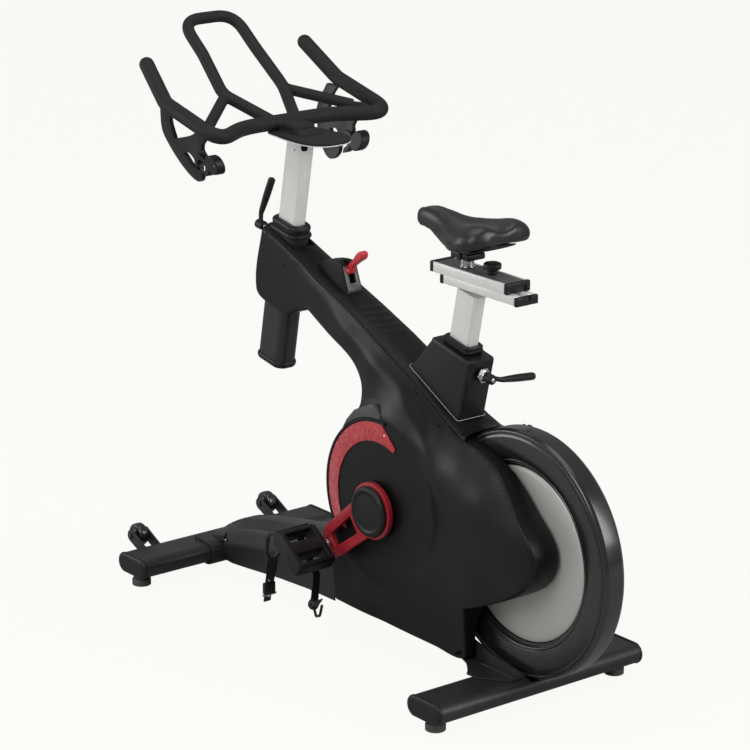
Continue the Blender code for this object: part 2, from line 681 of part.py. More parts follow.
def plate_spline(samples):
    """Thin-plate surface through (x, z, y) samples, as a function y(x, z)."""
    points = np.array(samples)
    n = len(points)

    def kernel(r2):
        return np.where(r2 > 1e-14, r2 * np.log(np.maximum(r2, 1e-14)), 0.0)

    delta = points[:, None, :2] - points[None, :, :2]
    system = np.zeros((n + 3, n + 3))
    system[:n, :n] = kernel((delta ** 2).sum(-1)) + np.eye(n) * 1e-5
    system[:n, n] = system[n, :n] = 1.0
    system[:n, n + 1:] = points[:, :2]
    system[n + 1:, :n] = points[:, :2].T
    weights = np.linalg.solve(system, np.append(points[:, 2], [0.0, 0.0, 0.0]))

    def height(x, z):
        r2 = (points[:, 0] - x) ** 2 + (points[:, 1] - z) ** 2
        return float(kernel(r2) @ weights[:n] + weights[n] + weights[n + 1] * x
                     + weights[n + 2] * z)

    return height


base_height = plate_spline(SURFACE)


def smooth_step(low, high, value):
    t = min(max((value - low) / (high - low), 0.0), 1.0)
    return t * t * (3 - 2 * t)


def side_height(x, z):
    """y of the left shell's outer face: the flat belt cover blended into the body."""
    r = math.hypot(x, z - BELT_COVER_Z)
    t = smooth_step(BELT_COVER_R - 0.004, BELT_COVER_R + 0.030, r)
    return BELT_COVER_Y * (1 - t) + base_height(x, z) * t


def shell_outline():
    """(x, z, y of the inner edge) round the left shell, from the top of the head backwards."""
    drop = 1.16 * SHELL_THICKNESS + GAP        # clears the underside of the spine cover
    loop = [(x, z - drop, 0.026) for x, z, _ in SEAM[1:]]
    loop += OUTLINE_REAR
    loop += [(x, z, GAP) for x, z in arc(0.0, BELT_COVER_Z, BELT_COVER_R, -33, 56, 9)]
    loop += [(x, z, GAP) for x, z in OUTLINE_FRONT]
    return loop


def inside(loop, x, z):
    hit = False
    for (x1, z1), (x2, z2) in zip(loop, loop[1:] + loop[:1]):
        if (z1 > z) != (z2 > z) and x < (x2 - x1) * (z - z1) / (z2 - z1) + x1:
            hit = not hit
    return hit


def distance_to(loop, x, z):
    best = 1e9
    for (x1, z1), (x2, z2) in zip(loop, loop[1:] + loop[:1]):
        dx, dz = x2 - x1, z2 - z1
        t = min(max(((x - x1) * dx + (z - z1) * dz) / (dx * dx + dz * dz), 0.0), 1.0)
        best = min(best, math.hypot(x - x1 - t * dx, z - z1 - t * dz))
    return best


def grid_points(loop, pitch):
    """Points of a triangular grid that lie well inside the loop."""
    low_x, high_x = min(p[0] for p in loop), max(p[0] for p in loop)
    low_z, high_z = min(p[1] for p in loop), max(p[1] for p in loop)
    points = []
    for row in range(int((high_z - low_z) / (pitch * 0.866)) + 1):
        z = low_z + pitch * 0.866 * (row + 0.5)
        x = low_x + pitch * (0.5 if row % 2 else 0.0)
        while x < high_x:
            if inside(loop, x, z) and distance_to(loop, x, z) > 0.45 * pitch:
                points.append(Vector((x, z)))
            x += pitch
    return points


def left_shell():
    """Triangulated side surface with a rim turned in to the inner edge, then thickened."""
    outline = shell_outline()
    flat = [(x, z) for x, z, _ in outline]
    points = [Vector(p) for p in flat] + grid_points(flat, SHELL_PITCH)
    edges = [(i, (i + 1) % len(flat)) for i in range(len(flat))]
    verts, _, faces, *_ = delaunay_2d_cdt(points, edges, [], 1, 1e-7)
    bm = bmesh.new()
    surface = [bm.verts.new((co.x, side_height(co.x, co.y), co.y)) for co in verts]
    for face in faces:
        bm.faces.new([surface[i] for i in face])
    inner_edge = {}
    for x, z, inner_y in outline:
        nearest = min(range(len(verts)),
                      key=lambda i: (verts[i].x - x) ** 2 + (verts[i].y - z) ** 2)
        inner_edge[nearest] = inner_y
    border = [edge for edge in bm.edges if edge.is_boundary]
    rim = {}
    for index, inner_y in inner_edge.items():
        top = surface[index]
        rim[top] = bm.verts.new((top.co.x, inner_y, top.co.z))
    for edge in border:
        a, b = edge.verts
        if a in rim and b in rim:
            bm.faces.new((a, b, rim[b], rim[a]))
    shell = outward_object("left_shell", bm)
    outermost = max(shell.data.polygons, key=lambda p: p.center.y)
    if outermost.normal.y < 0:
        shell.data.flip_normals()
    return thickened(shell)


def build_side_shells():
    left = left_shell()
    head_opening = loft(HEAD.sections(rounded(0.0425, 0.0260, 0.019, 3), (0.45, 0.90)))
    cut(left, head_opening)
    cut(left, cylinder_y(0, CRANK_Z, 0.06, 0.12, 0.030, 24))
    cut(left, cylinder((0.43, 0, HEAD_CLAMP_Z), (0.49, 0, HEAD_CLAMP_Z), 0.0062, 16))
    right = mirrored_y(left, keep=True)
    part("left_shell", left, SHELL, FRAME)
    part("right_shell", right, SHELL, FRAME)


# ---------------------------------------------------------------- spine and sleeve covers
SPINE_X = [0.4445, 0.400, 0.350, 0.293, 0.220, 0.150, 0.058, -0.010, -0.060, -0.115, -0.163,
           -0.200]
SPINE_ACROSS = [-1.0, -0.75, -0.35, 0.35, 0.75, 1.0]     # fractions of the half width
SPINE_CROWN = 0.008
SLEEVE_OPENING = rounded(0.0350, 0.0200, 0.008, 2)
COVER_MARKS = (0.0, 0.2, 0.35, 0.57, 0.90, 1.0)          # fractions of the length
SEAT_COLLAR_CHAMFER = 0.010
# Half size along, half size across, z on the axis.
SEAT_COLLAR_ROWS = ((0.0375, 0.0225, 0.6657), (0.0375, 0.0225, 0.6747), (0.0350, 0.0200, 0.6772))


def spine_top(x):
    return seam_z(x) + SPINE_CROWN + GAP


def build_spine_cover():
    spine = roof("spine", [[(x, seam_half_width(x) * s, seam_z(x) + SPINE_CROWN * (1 - s ** 4))
                            for s in SPINE_ACROSS] for x in SPINE_X])
    cut(spine, loft(HEAD.sections(rounded(0.0450, 0.0285, 0.019, 3), (0.70, 0.90))))
    cut(spine, loft(SEAT.sections(SLEEVE_OPENING, (0.45, 0.70))))
    part("spine_cover", spine, SHELL, FRAME)


def cover_loop(half_width, front_x, rear_x, front_z=None, rear_z=None):
    """Back down the left side, forwards up the right; on the spine where no z is given."""
    side = []
    for t in COVER_MARKS:
        x = front_x + (rear_x - front_x) * t
        side.append((x, spine_top(x) if front_z is None else front_z + (rear_z - front_z) * t))
    return ([(x, half_width, z) for x, z in side]
            + [(x, -half_width, z) for x, z in reversed(side)])


def build_sleeve_cover():
    cover = ring_loft([cover_loop(0.0335, -0.030, -0.178),
                       cover_loop(0.0325, -0.093, -0.208, 0.677, 0.652)],
                      [cover_loop(0.0305, -0.035, -0.175),
                       cover_loop(0.0295, -0.0945, -0.2050, 0.672, 0.6480)])
    lid = loft([cover_loop(0.0318, -0.0938, -0.2072, 0.6755, 0.6508),
                cover_loop(0.0318, -0.0950, -0.2064, 0.6710, 0.6467)])
    union(cover, lid)
    cut(cover, loft(SEAT.sections(SLEEVE_OPENING, (0.55, 0.72))))
    cut(cover, cylinder((-0.120, 0, SEAT_CLAMP_Z), (-0.260, 0, SEAT_CLAMP_Z), 0.0135, 16))
    part("seat_sleeve_cover", cover, PLASTIC, FRAME)
    collar = ring_loft([SEAT.section(chamfered(a, b, SEAT_COLLAR_CHAMFER), z)
                        for a, b, z in SEAT_COLLAR_ROWS],
                       SEAT.sections(POST_BORE, [row[-1] for row in SEAT_COLLAR_ROWS]))
    part("seat_collar", collar, PLASTIC, FRAME)


# ---------------------------------------------------------------- front base cover
# Tapering hood over the beam: x, half width at the foot, half width at the shoulder,
# foot z, shoulder z, ridge z.
HOOD_ROWS = (
    (0.6280, 0.046, 0.036, 0.0732, 0.0755, 0.0800), (0.6000, 0.050, 0.039, 0.0732, 0.0800, 0.0930),
    (0.5732, 0.0535, 0.042, 0.0732, 0.0900, 0.1060), (0.5726, 0.0540, 0.042, 0.034, 0.0903, 0.1063),
    (0.540, 0.056, 0.042, 0.034, 0.1070, 0.1210), (0.480, 0.058, 0.044, 0.040, 0.1250, 0.1380),
    (0.360, 0.066, 0.049, 0.056, 0.1530, 0.1640), (0.250, 0.072, 0.053, 0.066, 0.1760, 0.1850),
    (0.1605, 0.077, 0.056, 0.072, 0.1960, 0.2030))


def hood_row(x, foot_half, shoulder_half, foot_z, shoulder_z, ridge_z):
    left = [(x, foot_half, foot_z),
            (x, foot_half - 0.001, foot_z + 0.55 * (shoulder_z - foot_z)),
            (x, shoulder_half, shoulder_z), (x, 0.45 * shoulder_half, ridge_z)]
    return left + [(x, -y, z) for x, y, z in reversed(left)]


def build_front_base_cover():
    hood = roof("hood", [hood_row(*row) for row in HOOD_ROWS])
    cut(hood, plate(bar_section(BAR_FRONT_X, WRAP_THICKNESS + GAP), -0.0810, 0.0810))
    part("front_base_cover", hood, PLASTIC, FRAME)


# ---------------------------------------------------------------- belt and its cover trims
TRIM_OUTER_R, TRIM_INNER_R, TRIM_INNER_DROP = 0.157, 0.127, 0.009
TRIM_TIP = (-0.055, 0.451)
TRIM_THICKNESS = 0.0023                # with the gap beneath
BELT_BOTTOM, BELT_TOP = 0.0008, 0.0038  # faces of the belt beyond the pulley radius


def build_trims():
    """Crescents on the belt covers."""
    crescent = arc(0.0, BELT_COVER_Z, TRIM_OUTER_R, -33, 95, 18) + [TRIM_TIP]
    crescent += arc(0.0, BELT_COVER_Z - TRIM_INNER_DROP, TRIM_INNER_R, 113, -38, 18)
    for side, label in SIDES:
        low, high = y_span(side, BELT_COVER_Y + GAP, BELT_COVER_Y + TRIM_THICKNESS)
        part(f"belt_cover_trim_{label}", plate(crescent, low, high), RED, FRAME)


def belt_loop(extra):
    """Loop round both pulleys, at extra beyond their radii."""
    big, small = PULLEY_R + extra, SMALL_PULLEY_R + extra
    line = Vector((WHEEL_X, WHEEL_Z)) - Vector((0.0, CRANK_Z))
    base = math.degrees(math.atan2(line.y, line.x))
    wrap = math.degrees(math.acos((big - small) / line.length))
    return (arc(0.0, CRANK_Z, big, base + wrap, base + 360 - wrap, 34)
            + arc(WHEEL_X, WHEEL_Z, small, base - wrap, base + wrap, 14))


def build_belt():
    belt = plate(belt_loop(BELT_TOP), BELT_Y - BELT_HALF_WIDTH, BELT_Y + BELT_HALF_WIDTH,
                 [belt_loop(BELT_BOTTOM)])
    part("drive_belt", belt, BELT, FRAME)


# ---------------------------------------------------------------- resistance lever housing
LEVER_X, LEVER_Z = 0.203, 0.742        # lever pivot
# Housing outline: x, z. Its underside follows the spine.
HOUSING_OUTLINE = [
    (0.292, spine_top(0.292) + 0.002), (0.270, 0.752), (0.232, 0.7595), (0.207, 0.7565),
    (0.187, spine_top(0.187)), (0.240, spine_top(0.240)), (0.292, spine_top(0.292))]


def build_lever_housing():
    housing = plate(HOUSING_OUTLINE, -0.021, 0.021)
    cut(housing, box((0.178, -0.0065, 0.7195), (0.228, 0.0065, 0.775)))
    cut(housing, cylinder_y(LEVER_X, LEVER_Z, -0.03, 0.03, 0.0028, 10))
    part("resistance_lever_housing", housing, GREY, FRAME)


# ---------------------------------------------------------------- handlebar
HANDLEBAR_R, LOOP_R, STRUT_R = 0.0155, 0.0123, 0.0115
# Left half of the console plate, rear to front: x, y.
CONSOLE_HALF = [(0.240, 0.0), (0.243, 0.023), (0.256, 0.043), (0.282, 0.055), (0.325, 0.057),
                (0.372, 0.052), (0.415, 0.044), (0.432, 0.030), (0.438, 0.0)]
# Left halves of the bars: x, y, z, corner radius.
MAIN_BAR_HALF = [(0.617, 0.200, 1.120, 0), (0.526, 0.217, 1.055, 0.045),
                 (0.341, 0.217, 1.0115, 0.034), (0.411, 0.112, 1.0110, 0.15),
                 (0.412, 0.030, 1.0112, 0.10)]
LOOP_BAR_HALF = [(0.424, 0.030, 1.013, 0), (0.526, 0.076, 1.056, 0.060),
                 (0.609, 0.066, 1.125, 0.2), (0.684, 0.065, 1.1825, 0.066)]
MAIN_BAR_PATH = symmetric_path(MAIN_BAR_HALF, 3)
# Bottle holder: web and the window in it, x, z.
HOLDER_WEB = [
    (0.549, 1.0405), (0.563, 0.9920), (0.558, 0.9735), (0.5275, 0.9270), (0.4955, 0.9010),
    (0.4787, 0.8970), (0.4658, 0.9025), (0.4580, 0.9140), (0.4600, 0.9360), (0.4423, 0.9530),
    (0.4290, 0.9620), (0.4340, 0.9715), (0.4300, 0.9825), (0.4156, 0.9967), (0.4105, 1.0125),
    (0.4300, 1.0180), (0.4445, 1.0070), (0.5246, 0.9810), (0.5240, 1.0190), (0.5120, 1.0405)]
HOLDER_WINDOW = [(0.5037, 0.9548), (0.4852, 0.9576), (0.4680, 0.9352), (0.4710, 0.9222),
                 (0.4814, 0.9268)]
CUP_X, CUP_Z, CUP_HALF_WIDTH = 0.4446, 0.9390, 0.009
CUP_INNER_R, CUP_OUTER_R = 0.0115, 0.0230
HOLDER_Y, HOLDER_LEVEL, HOLDER_LEAN = 0.2050, 1.02, 0.30    # y at that z, and y per unit of z


def handlebar():
    console_loop = CONSOLE_HALF + [(x, -y) for x, y in reversed(CONSOLE_HALF[1:-1])]
    console = level_plate(console_loop, 0.9895, 0.9960)
    bars = tube(MAIN_BAR_PATH, HANDLEBAR_R, 2)
    union(bars, tube(symmetric_path(LOOP_BAR_HALF, 4), LOOP_R, 2))
    for side, _ in SIDES:
        strut = [(0.432, side * 0.178, 1.0200), (0.520, side * 0.077, 1.0500)]
        union(bars, tube(strut, STRUT_R, 2))
    block = box((0.345, -0.030, 0.9900), (0.425, 0.030, 1.0120), bevel=0.004)
    return union(bars, block, console)


def bottle_holder(side):
    web = plate(HOLDER_WEB, -0.0045, 0.0045)
    cut(web, plate(HOLDER_WINDOW, -0.02, 0.02))
    cup = turned([(CUP_INNER_R, -CUP_HALF_WIDTH), (CUP_OUTER_R, -CUP_HALF_WIDTH),
                  (CUP_OUTER_R, CUP_HALF_WIDTH), (CUP_INNER_R, CUP_HALF_WIDTH)],
                 (CUP_X, 0.0, CUP_Z), 18, ring=True)
    cut(cup, box((0.441, -0.02, 0.905), (0.463, 0.02, 0.9340)))
    flange = cylinder_y(0.4055, 0.9465, -0.0110, 0.0110, 0.0205, 18)
    cut(flange, cylinder_y(CUP_X, CUP_Z, -0.02, 0.02, CUP_OUTER_R - 0.0005, 18))
    holder = remapped(union(web, cup, flange), lambda x, y, z: (
        x, y + HOLDER_Y + HOLDER_LEAN * (z - HOLDER_LEVEL), z))
    holder = on_side(side, holder)
    return cut(holder, tube(MAIN_BAR_PATH, HANDLEBAR_R + 5 * GAP, 2))


def build_handlebar():
    owner = joint("handlebar_post", (HEAD.x_at(0.9), 0.0, 0.9))
    post_loop = chamfered(POST_HALF_X, POST_HALF_Y, POST_CHAMFER)
    post = loft(HEAD.sections(post_loop, (0.605, 0.9960)))
    cut(post, box((0.2, -0.1, 0.9892), (0.5, 0.1, 1.05)))      # levels the top
    part("handlebar_post", post, ALUMINIUM, owner)
    part("handlebar", handlebar(), GRIP, owner)
    for side, label in SIDES:
        part(f"bottle_holder_{label}", bottle_holder(side), PLASTIC, owner)


# ---------------------------------------------------------------- clamp levers
CLAMP_BOSS_R, CLAMP_HANDLE_R, CLAMP_HANDLE_BEND = 0.0095, 0.0068, 0.02


def clamp_handle(points):
    return tube(fillet_path(points, CLAMP_HANDLE_BEND, 3), CLAMP_HANDLE_R, 3)


def build_handlebar_clamp():
    """Stud through the front of the shells, with its handle in front of the head."""
    z = HEAD_CLAMP_Z
    stud = cylinder((0.4450, 0, z), (0.500, 0, z), 0.0048, 12)
    boss = cylinder((0.4900, 0, z), (0.5120, 0, z + 0.002), CLAMP_BOSS_R, 16)
    handle = clamp_handle([(0.503, 0, z), (0.506, -0.003, z + 0.024), (0.480, -0.014, z + 0.102)])
    part("handlebar_clamp_lever", union(stud, boss, handle), PLASTIC,
         joint("handlebar_clamp_lever", (0.470, 0.0, z)))


def build_seat_clamp():
    """Stud into the back of the seat sleeve, with its handle out to the right."""
    x, z = SEAT_CLAMP_X, SEAT_CLAMP_Z
    stud = cylinder((x - 0.0015, 0, z), (x - 0.056, 0, z), 0.0050, 12)
    flange = cylinder((x - 0.0335, 0, z), (x - 0.0405, 0, z), 0.0160, 6)
    boss = cylinder((x - 0.0420, 0, z), (x - 0.0640, 0, z - 0.003), CLAMP_BOSS_R, 16)
    handle = clamp_handle([(x - 0.053, 0, z), (x - 0.062, -0.022, z - 0.006),
                           (x - 0.055, -0.112, z - 0.017)])
    part("seat_clamp_lever", union(stud, flange, boss, handle), PLASTIC,
         joint("seat_clamp_lever", (x - 0.03, 0.0, z)))


# ---------------------------------------------------------------- seat post and carriage
RAIL_FRONT_X, RAIL_REAR_X, RAIL_HALF_WIDTH = -0.119, -0.326, 0.0255
RAIL_BOTTOM, RAIL_TOP = 0.7890, 0.8060
CARRIAGE_FRONT_X, CARRIAGE_REAR_X, CARRIAGE_HALF_WIDTH = -0.092, -0.300, 0.0285
CARRIAGE_BOTTOM, CARRIAGE_TOP = 0.8065, 0.8265
SLIDE_CAP_REACH = 0.009                # from the end of a slide to the cap's outer face
KNOB_X = -0.233
# Saddle slide knob: radius, z.
KNOB_PROFILE = [
    (0.0, 0.8105), (0.0040, 0.8105), (0.0040, 0.8270), (0.0085, 0.8270), (0.0095, 0.8350),
    (0.0160, 0.8375), (0.0172, 0.8395), (0.0172, 0.8465), (0.0155, 0.8490), (0.0, 0.8490)]
# Saddle, nose to tail: x, half width, top z, edge z, bottom z.
SADDLE_ROWS = (
    (-0.021, 0.010, 0.9080, 0.9010, 0.8900), (-0.032, 0.0205, 0.9220, 0.9050, 0.8850),
    (-0.055, 0.0240, 0.9275, 0.9080, 0.8850), (-0.095, 0.0285, 0.9240, 0.9030, 0.8780),
    (-0.130, 0.0400, 0.9180, 0.8920, 0.8660), (-0.165, 0.0620, 0.9170, 0.8840, 0.8660),
    (-0.200, 0.0790, 0.9210, 0.8880, 0.8700), (-0.232, 0.0850, 0.9290, 0.8960, 0.8740),
    (-0.258, 0.0780, 0.9300, 0.8990, 0.8820), (-0.272, 0.0560, 0.9220, 0.9020, 0.8900))


def slide(front_x, rear_x, half_width, low, high):
    outline = [(front_x, low), (rear_x, low), (rear_x, high), (front_x, high)]
    return plate(outline, -half_width, half_width)


def add_slide_caps(name, front_x, rear_x, half_width, low, high, owner):
    for label, x_low, x_high in (("front", front_x + GAP, front_x + SLIDE_CAP_REACH),
                                 ("rear", rear_x - SLIDE_CAP_REACH, rear_x - GAP)):
        cap = box((x_low, -half_width, low), (x_high, half_width, high), bevel=0.002)
        part(f"{name}_{label}_cap", cap, PLASTIC, owner)


def build_seat_post():
    owner = joint("seat_post", (SEAT.x_at(0.73), 0.0, 0.73))
    post_loop = chamfered(POST_HALF_X, POST_HALF_Y, POST_CHAMFER)
    part("seat_post", loft(SEAT.sections(post_loop, (0.487, 0.7800))), ALUMINIUM, owner)
    rail = slide(RAIL_FRONT_X, RAIL_REAR_X, RAIL_HALF_WIDTH, RAIL_BOTTOM, RAIL_TOP)
    cut(rail, box((-0.36, -0.008, 0.7935), (-0.10, 0.008, 0.81)))      # slot along the top
    part("seat_rail", rail, ALUMINIUM, owner)
    add_slide_caps("seat_rail", RAIL_FRONT_X, RAIL_REAR_X, 0.0270,
                   RAIL_BOTTOM - 0.001, RAIL_TOP - 0.0003, owner)


def build_seat_carriage():
    """Builds the carriage and returns its joint."""
    owner = joint("seat_carriage", (-0.2, 0.0, CARRIAGE_BOTTOM))
    carriage = slide(CARRIAGE_FRONT_X, CARRIAGE_REAR_X, CARRIAGE_HALF_WIDTH,
                     CARRIAGE_BOTTOM, CARRIAGE_TOP)
    cut(carriage, box((-0.32, -0.0225, 0.80), (-0.07, 0.0225, 0.8220)))    # open underside
    cut(carriage, cylinder((KNOB_X, 0, 0.80), (KNOB_X, 0, 0.84), 0.0045, 12))
    part("seat_carriage", carriage, ALUMINIUM, owner)
    add_slide_caps("carriage", CARRIAGE_FRONT_X, CARRIAGE_REAR_X, 0.0297,
                   CARRIAGE_BOTTOM - 0.0002, CARRIAGE_TOP + 0.001, owner)
    pin = cylinder((-0.160, 0, CARRIAGE_TOP + GAP), (-0.160, 0, 0.8600), 0.0135, 20)
    clamp = box((-0.190, -0.022, 0.8440), (-0.132, 0.022, 0.8590), bevel=0.003)
    part("saddle_clamp", union(pin, clamp), STEEL, owner)
    return owner


def build_slide_knob():
    knob = turned(KNOB_PROFILE, (KNOB_X, 0, 0), 20, axis=Z_AXIS)
    part("seat_slide_knob", knob, PLASTIC, joint("seat_slide_knob", (KNOB_X, 0.0, CARRIAGE_TOP)))


def saddle_loop(x, w, top, edge, low):
    """One section of the saddle, w being its half width."""
    shoulder = 0.55 * top + 0.45 * edge
    left = [(x, 0.45 * w, top), (x, 0.85 * w, shoulder), (x, w, edge), (x, 0.86 * w, low)]
    return ([(x, 0.0, top - 0.003)] + left + [(x, 0.0, low + 0.004)]
            + [(x, -y, z) for x, y, z in reversed(left)])


def build_saddle(owner):
    saddle = loft([saddle_loop(*row) for row in SADDLE_ROWS])
    modified(saddle, "SUBSURF", levels=1, render_levels=1)
    saddle = baked(saddle)
    cut(saddle, box((-0.200, -0.030, 0.840), (-0.120, 0.030, 0.8790)))     # room for the clamp
    part("saddle", saddle, LEATHER, owner)


# ---------------------------------------------------------------- crank set
ARM_INNER_Y, ARM_OUTER_Y = 0.0960, 0.1070
CAP_OUTER_Y = 0.119
SPINDLE_R = 0.0110
# Left end of the spindle: radius, y.
SPINDLE_END = [(SPINDLE_R, 0.0955), (0.0095, 0.0958), (0.0095, 0.108), (0.0, 0.108)]
# Half of the pulley from the hub outwards: radius, distance from the belt line.
PULLEY_HALF = [(SPINDLE_R, 0.0065), (0.026, 0.0065), (0.030, 0.003), (PULLEY_R - 0.006, 0.003),
               (PULLEY_R - 0.006, 0.0065), (PULLEY_R, 0.0065)]
# Arm along +X from the crank axis: points round the pedal end and the window, x, z.
ARM_END = [(0.150, -0.0355), (0.170, -0.0320), (0.190, -0.013), (0.190, 0.013),
           (0.170, 0.0320), (0.150, 0.0355)]
ARM_WINDOW = [(0.070, 0.0195), (0.070, -0.0195), (0.154, -0.014), (0.154, 0.014)]
# Crank cap: radius, y.
CRANK_CAP_PROFILE = [
    (0.0, 0.1085), (0.0200, 0.1085), (0.0200, ARM_OUTER_Y + GAP), (0.0500, ARM_OUTER_Y + GAP),
    (0.0515, ARM_OUTER_Y + 0.002), (0.0515, 0.1130), (0.0480, 0.1175), (0.0400, CAP_OUTER_Y),
    (0.0, CAP_OUTER_Y)]


def crank_angle(side):
    return CRANK_ANGLE if side > 0 else CRANK_ANGLE + math.pi


def crank_arms():
    disc_edge = arc(0.0, 0.0, 0.0577, 43, 317, 22)
    arm = plate(disc_edge + ARM_END, ARM_INNER_Y, ARM_OUTER_Y, [ARM_WINDOW])
    cut(arm, cylinder_y(0, 0, 0.08, 0.12, 0.0098, 20),
        cylinder_y(CRANK_ARM, 0, 0.08, 0.12, 0.0075, 14))
    arm.name = "arm"
    arm.data.transform(Matrix.Translation((0.0, 0.0, CRANK_Z)))
    left = turned_about_y(arm, crank_angle(1), 0.0, CRANK_Z, keep=True)
    # The opposite arm before mirroring stays among the hidden helpers.
    opposite = turned_about_y(arm, crank_angle(-1), 0.0, CRANK_Z)
    return left, mirrored_y(opposite, keep=True)


def build_crank():
    centre = (0.0, 0.0, CRANK_Z)
    owner = joint("crank", centre)
    profile = [(r, -y) for r, y in reversed(SPINDLE_END)]
    profile += [(r, BELT_Y - h) for r, h in PULLEY_HALF]
    profile += [(r, BELT_Y + h) for r, h in reversed(PULLEY_HALF)] + SPINDLE_END
    part("crank_spindle", turned(profile, centre, 28), STEEL, owner)
    left_arm, right_arm = crank_arms()
    part("crank_arm_left", left_arm, RED, owner)
    part("crank_arm_right", right_arm, RED, owner)
    for side, label in SIDES:
        cap = on_side(side, turned(CRANK_CAP_PROFILE, centre, 24))
        part(f"crank_cap_{label}", cap, PLASTIC, owner)


# ---------------------------------------------------------------- pedals
PEDAL_TILT = math.radians(37)          # front edge raised
PEDAL_INNER_Y, PEDAL_OUTER_Y = 0.1250, 0.2150
PEDAL_MIDDLE_Y = 0.5 * (PEDAL_INNER_Y + PEDAL_OUTER_Y)
DECK_HALF_X, DECK_HALF_Z, DECK_CHAMFER_X, DECK_CHAMFER_Z = 0.047, 0.017, 0.007, 0.005
# Paths from the pedal axis in x and z, y absolute.
HOOP_HALF = [(0.0410, PEDAL_INNER_Y + 0.010, 0.0308), (0.078, PEDAL_INNER_Y + 0.014, 0.018),
             (0.102, PEDAL_INNER_Y + 0.026, -0.032)]
HOOP_PATH = HOOP_HALF + [(0.110, PEDAL_MIDDLE_Y, -0.062)] + [
    (x, PEDAL_INNER_Y + PEDAL_OUTER_Y - y, z) for x, y, z in reversed(HOOP_HALF)]
TAIL_PATH = [(0.107, PEDAL_MIDDLE_Y, -0.050), (0.117, PEDAL_MIDDLE_Y, -0.100),
             (0.126, PEDAL_MIDDLE_Y, -0.148)]
STRAP_PATH = [
    (0.0432, PEDAL_INNER_Y + 0.016, 0.0282), (0.0545, PEDAL_INNER_Y + 0.014, 0.0120),
    (0.049, PEDAL_INNER_Y + 0.012, -0.014), (0.010, PEDAL_INNER_Y + 0.006, -0.062),
    (-0.020, PEDAL_MIDDLE_Y - 0.010, -0.112), (-0.052, PEDAL_MIDDLE_Y + 0.015, -0.104),
    (-0.084, PEDAL_OUTER_Y - 0.018, -0.076)]


def pedal_deck(pedal_x, pedal_z):
    spindle = cylinder_y(pedal_x, pedal_z, ARM_INNER_Y + 0.0005, PEDAL_INNER_Y + 0.004, 0.0070, 14)
    a, b = DECK_HALF_X, DECK_HALF_Z
    near_x, near_z = a - DECK_CHAMFER_X, b - DECK_CHAMFER_Z
    outline = [(a, near_z), (near_x, b), (-near_x, b), (-a, near_z),
               (-a, -near_z), (-near_x, -b), (near_x, -b), (a, -near_z)]
    deck = plate(offset(outline, pedal_x, pedal_z), PEDAL_INNER_Y, PEDAL_OUTER_Y)
    for end in (1, -1):
        low_x, high_x = sorted((pedal_x + end * 0.014, pedal_x + end * 0.036))
        cut(deck, box((low_x, PEDAL_INNER_Y + 0.012, pedal_z - 0.03),
                      (high_x, PEDAL_OUTER_Y - 0.012, pedal_z + 0.03)))
    union(deck, spindle)
    return turned_about_y(deck, PEDAL_TILT, pedal_x, pedal_z)


def toe_cage(pedal_x, pedal_z):
    """Hoop from the raised front edge, strap tail with buckle, strap slung under the deck."""
    def placed(path):
        return [(pedal_x + x, y, pedal_z + z) for x, y, z in path]

    bridge = box((pedal_x + 0.0475, PEDAL_INNER_Y + 0.004, pedal_z - 0.007),
                 (pedal_x + 0.0545, PEDAL_OUTER_Y - 0.004, pedal_z + 0.007), bevel=0.0015)
    bridge = turned_about_y(bridge, PEDAL_TILT, pedal_x, pedal_z)
    hoop = tube(fillet_path(placed(HOOP_PATH), 0.03, 3), 0.0042, 1)
    tail = ribbon(placed(TAIL_PATH), 0.0105, 0.0015)
    # The buckle is a copy of a box that stays among the hidden helpers.
    buckle_box = box((pedal_x + 0.116, PEDAL_MIDDLE_Y - 0.0135, pedal_z - 0.138),
                     (pedal_x + 0.126, PEDAL_MIDDLE_Y + 0.0135, pedal_z - 0.112), bevel=0.002)
    buckle = turned_about_y(buckle_box, 0.0, pedal_x, pedal_z, keep=True)
    strap = ribbon(fillet_path(placed(STRAP_PATH), 0.03, 3), 0.0095, 0.0013)
    return union(hoop, bridge, tail, buckle, strap)


def build_pedals():
    for side, label in SIDES:
        angle = crank_angle(side)
        pedal_x = CRANK_ARM * math.cos(angle)
        pedal_z = CRANK_Z + CRANK_ARM * math.sin(angle)
        owner = joint(f"pedal_{label}", (pedal_x, side * 0.16, pedal_z))
        deck = pedal_deck(pedal_x, pedal_z)
        cage = toe_cage(pedal_x, pedal_z)
        part(f"pedal_{label}", on_side(side, deck), PLASTIC, owner)
        part(f"toe_cage_{label}", on_side(side, cage), PLASTIC, owner)


# ---------------------------------------------------------------- flywheel
AXLE_R = 0.0100
SMALL_PULLEY_HALF_WIDTH = 0.0072
# Left half of the wheel: radius, y.
WHEEL_HALF_PROFILE = [
    (AXLE_BORE_R, 0.0085), (0.030, 0.0085), (0.032, 0.0055), (0.1740, 0.0055),
    (0.1765, WHEEL_HALF_WIDTH - 0.0040), (0.2000, WHEEL_HALF_WIDTH - 0.001),
    (0.2340, WHEEL_HALF_WIDTH), (0.2420, WHEEL_HALF_WIDTH - 0.0015),
    (WHEEL_R, WHEEL_HALF_WIDTH - 0.0055)]
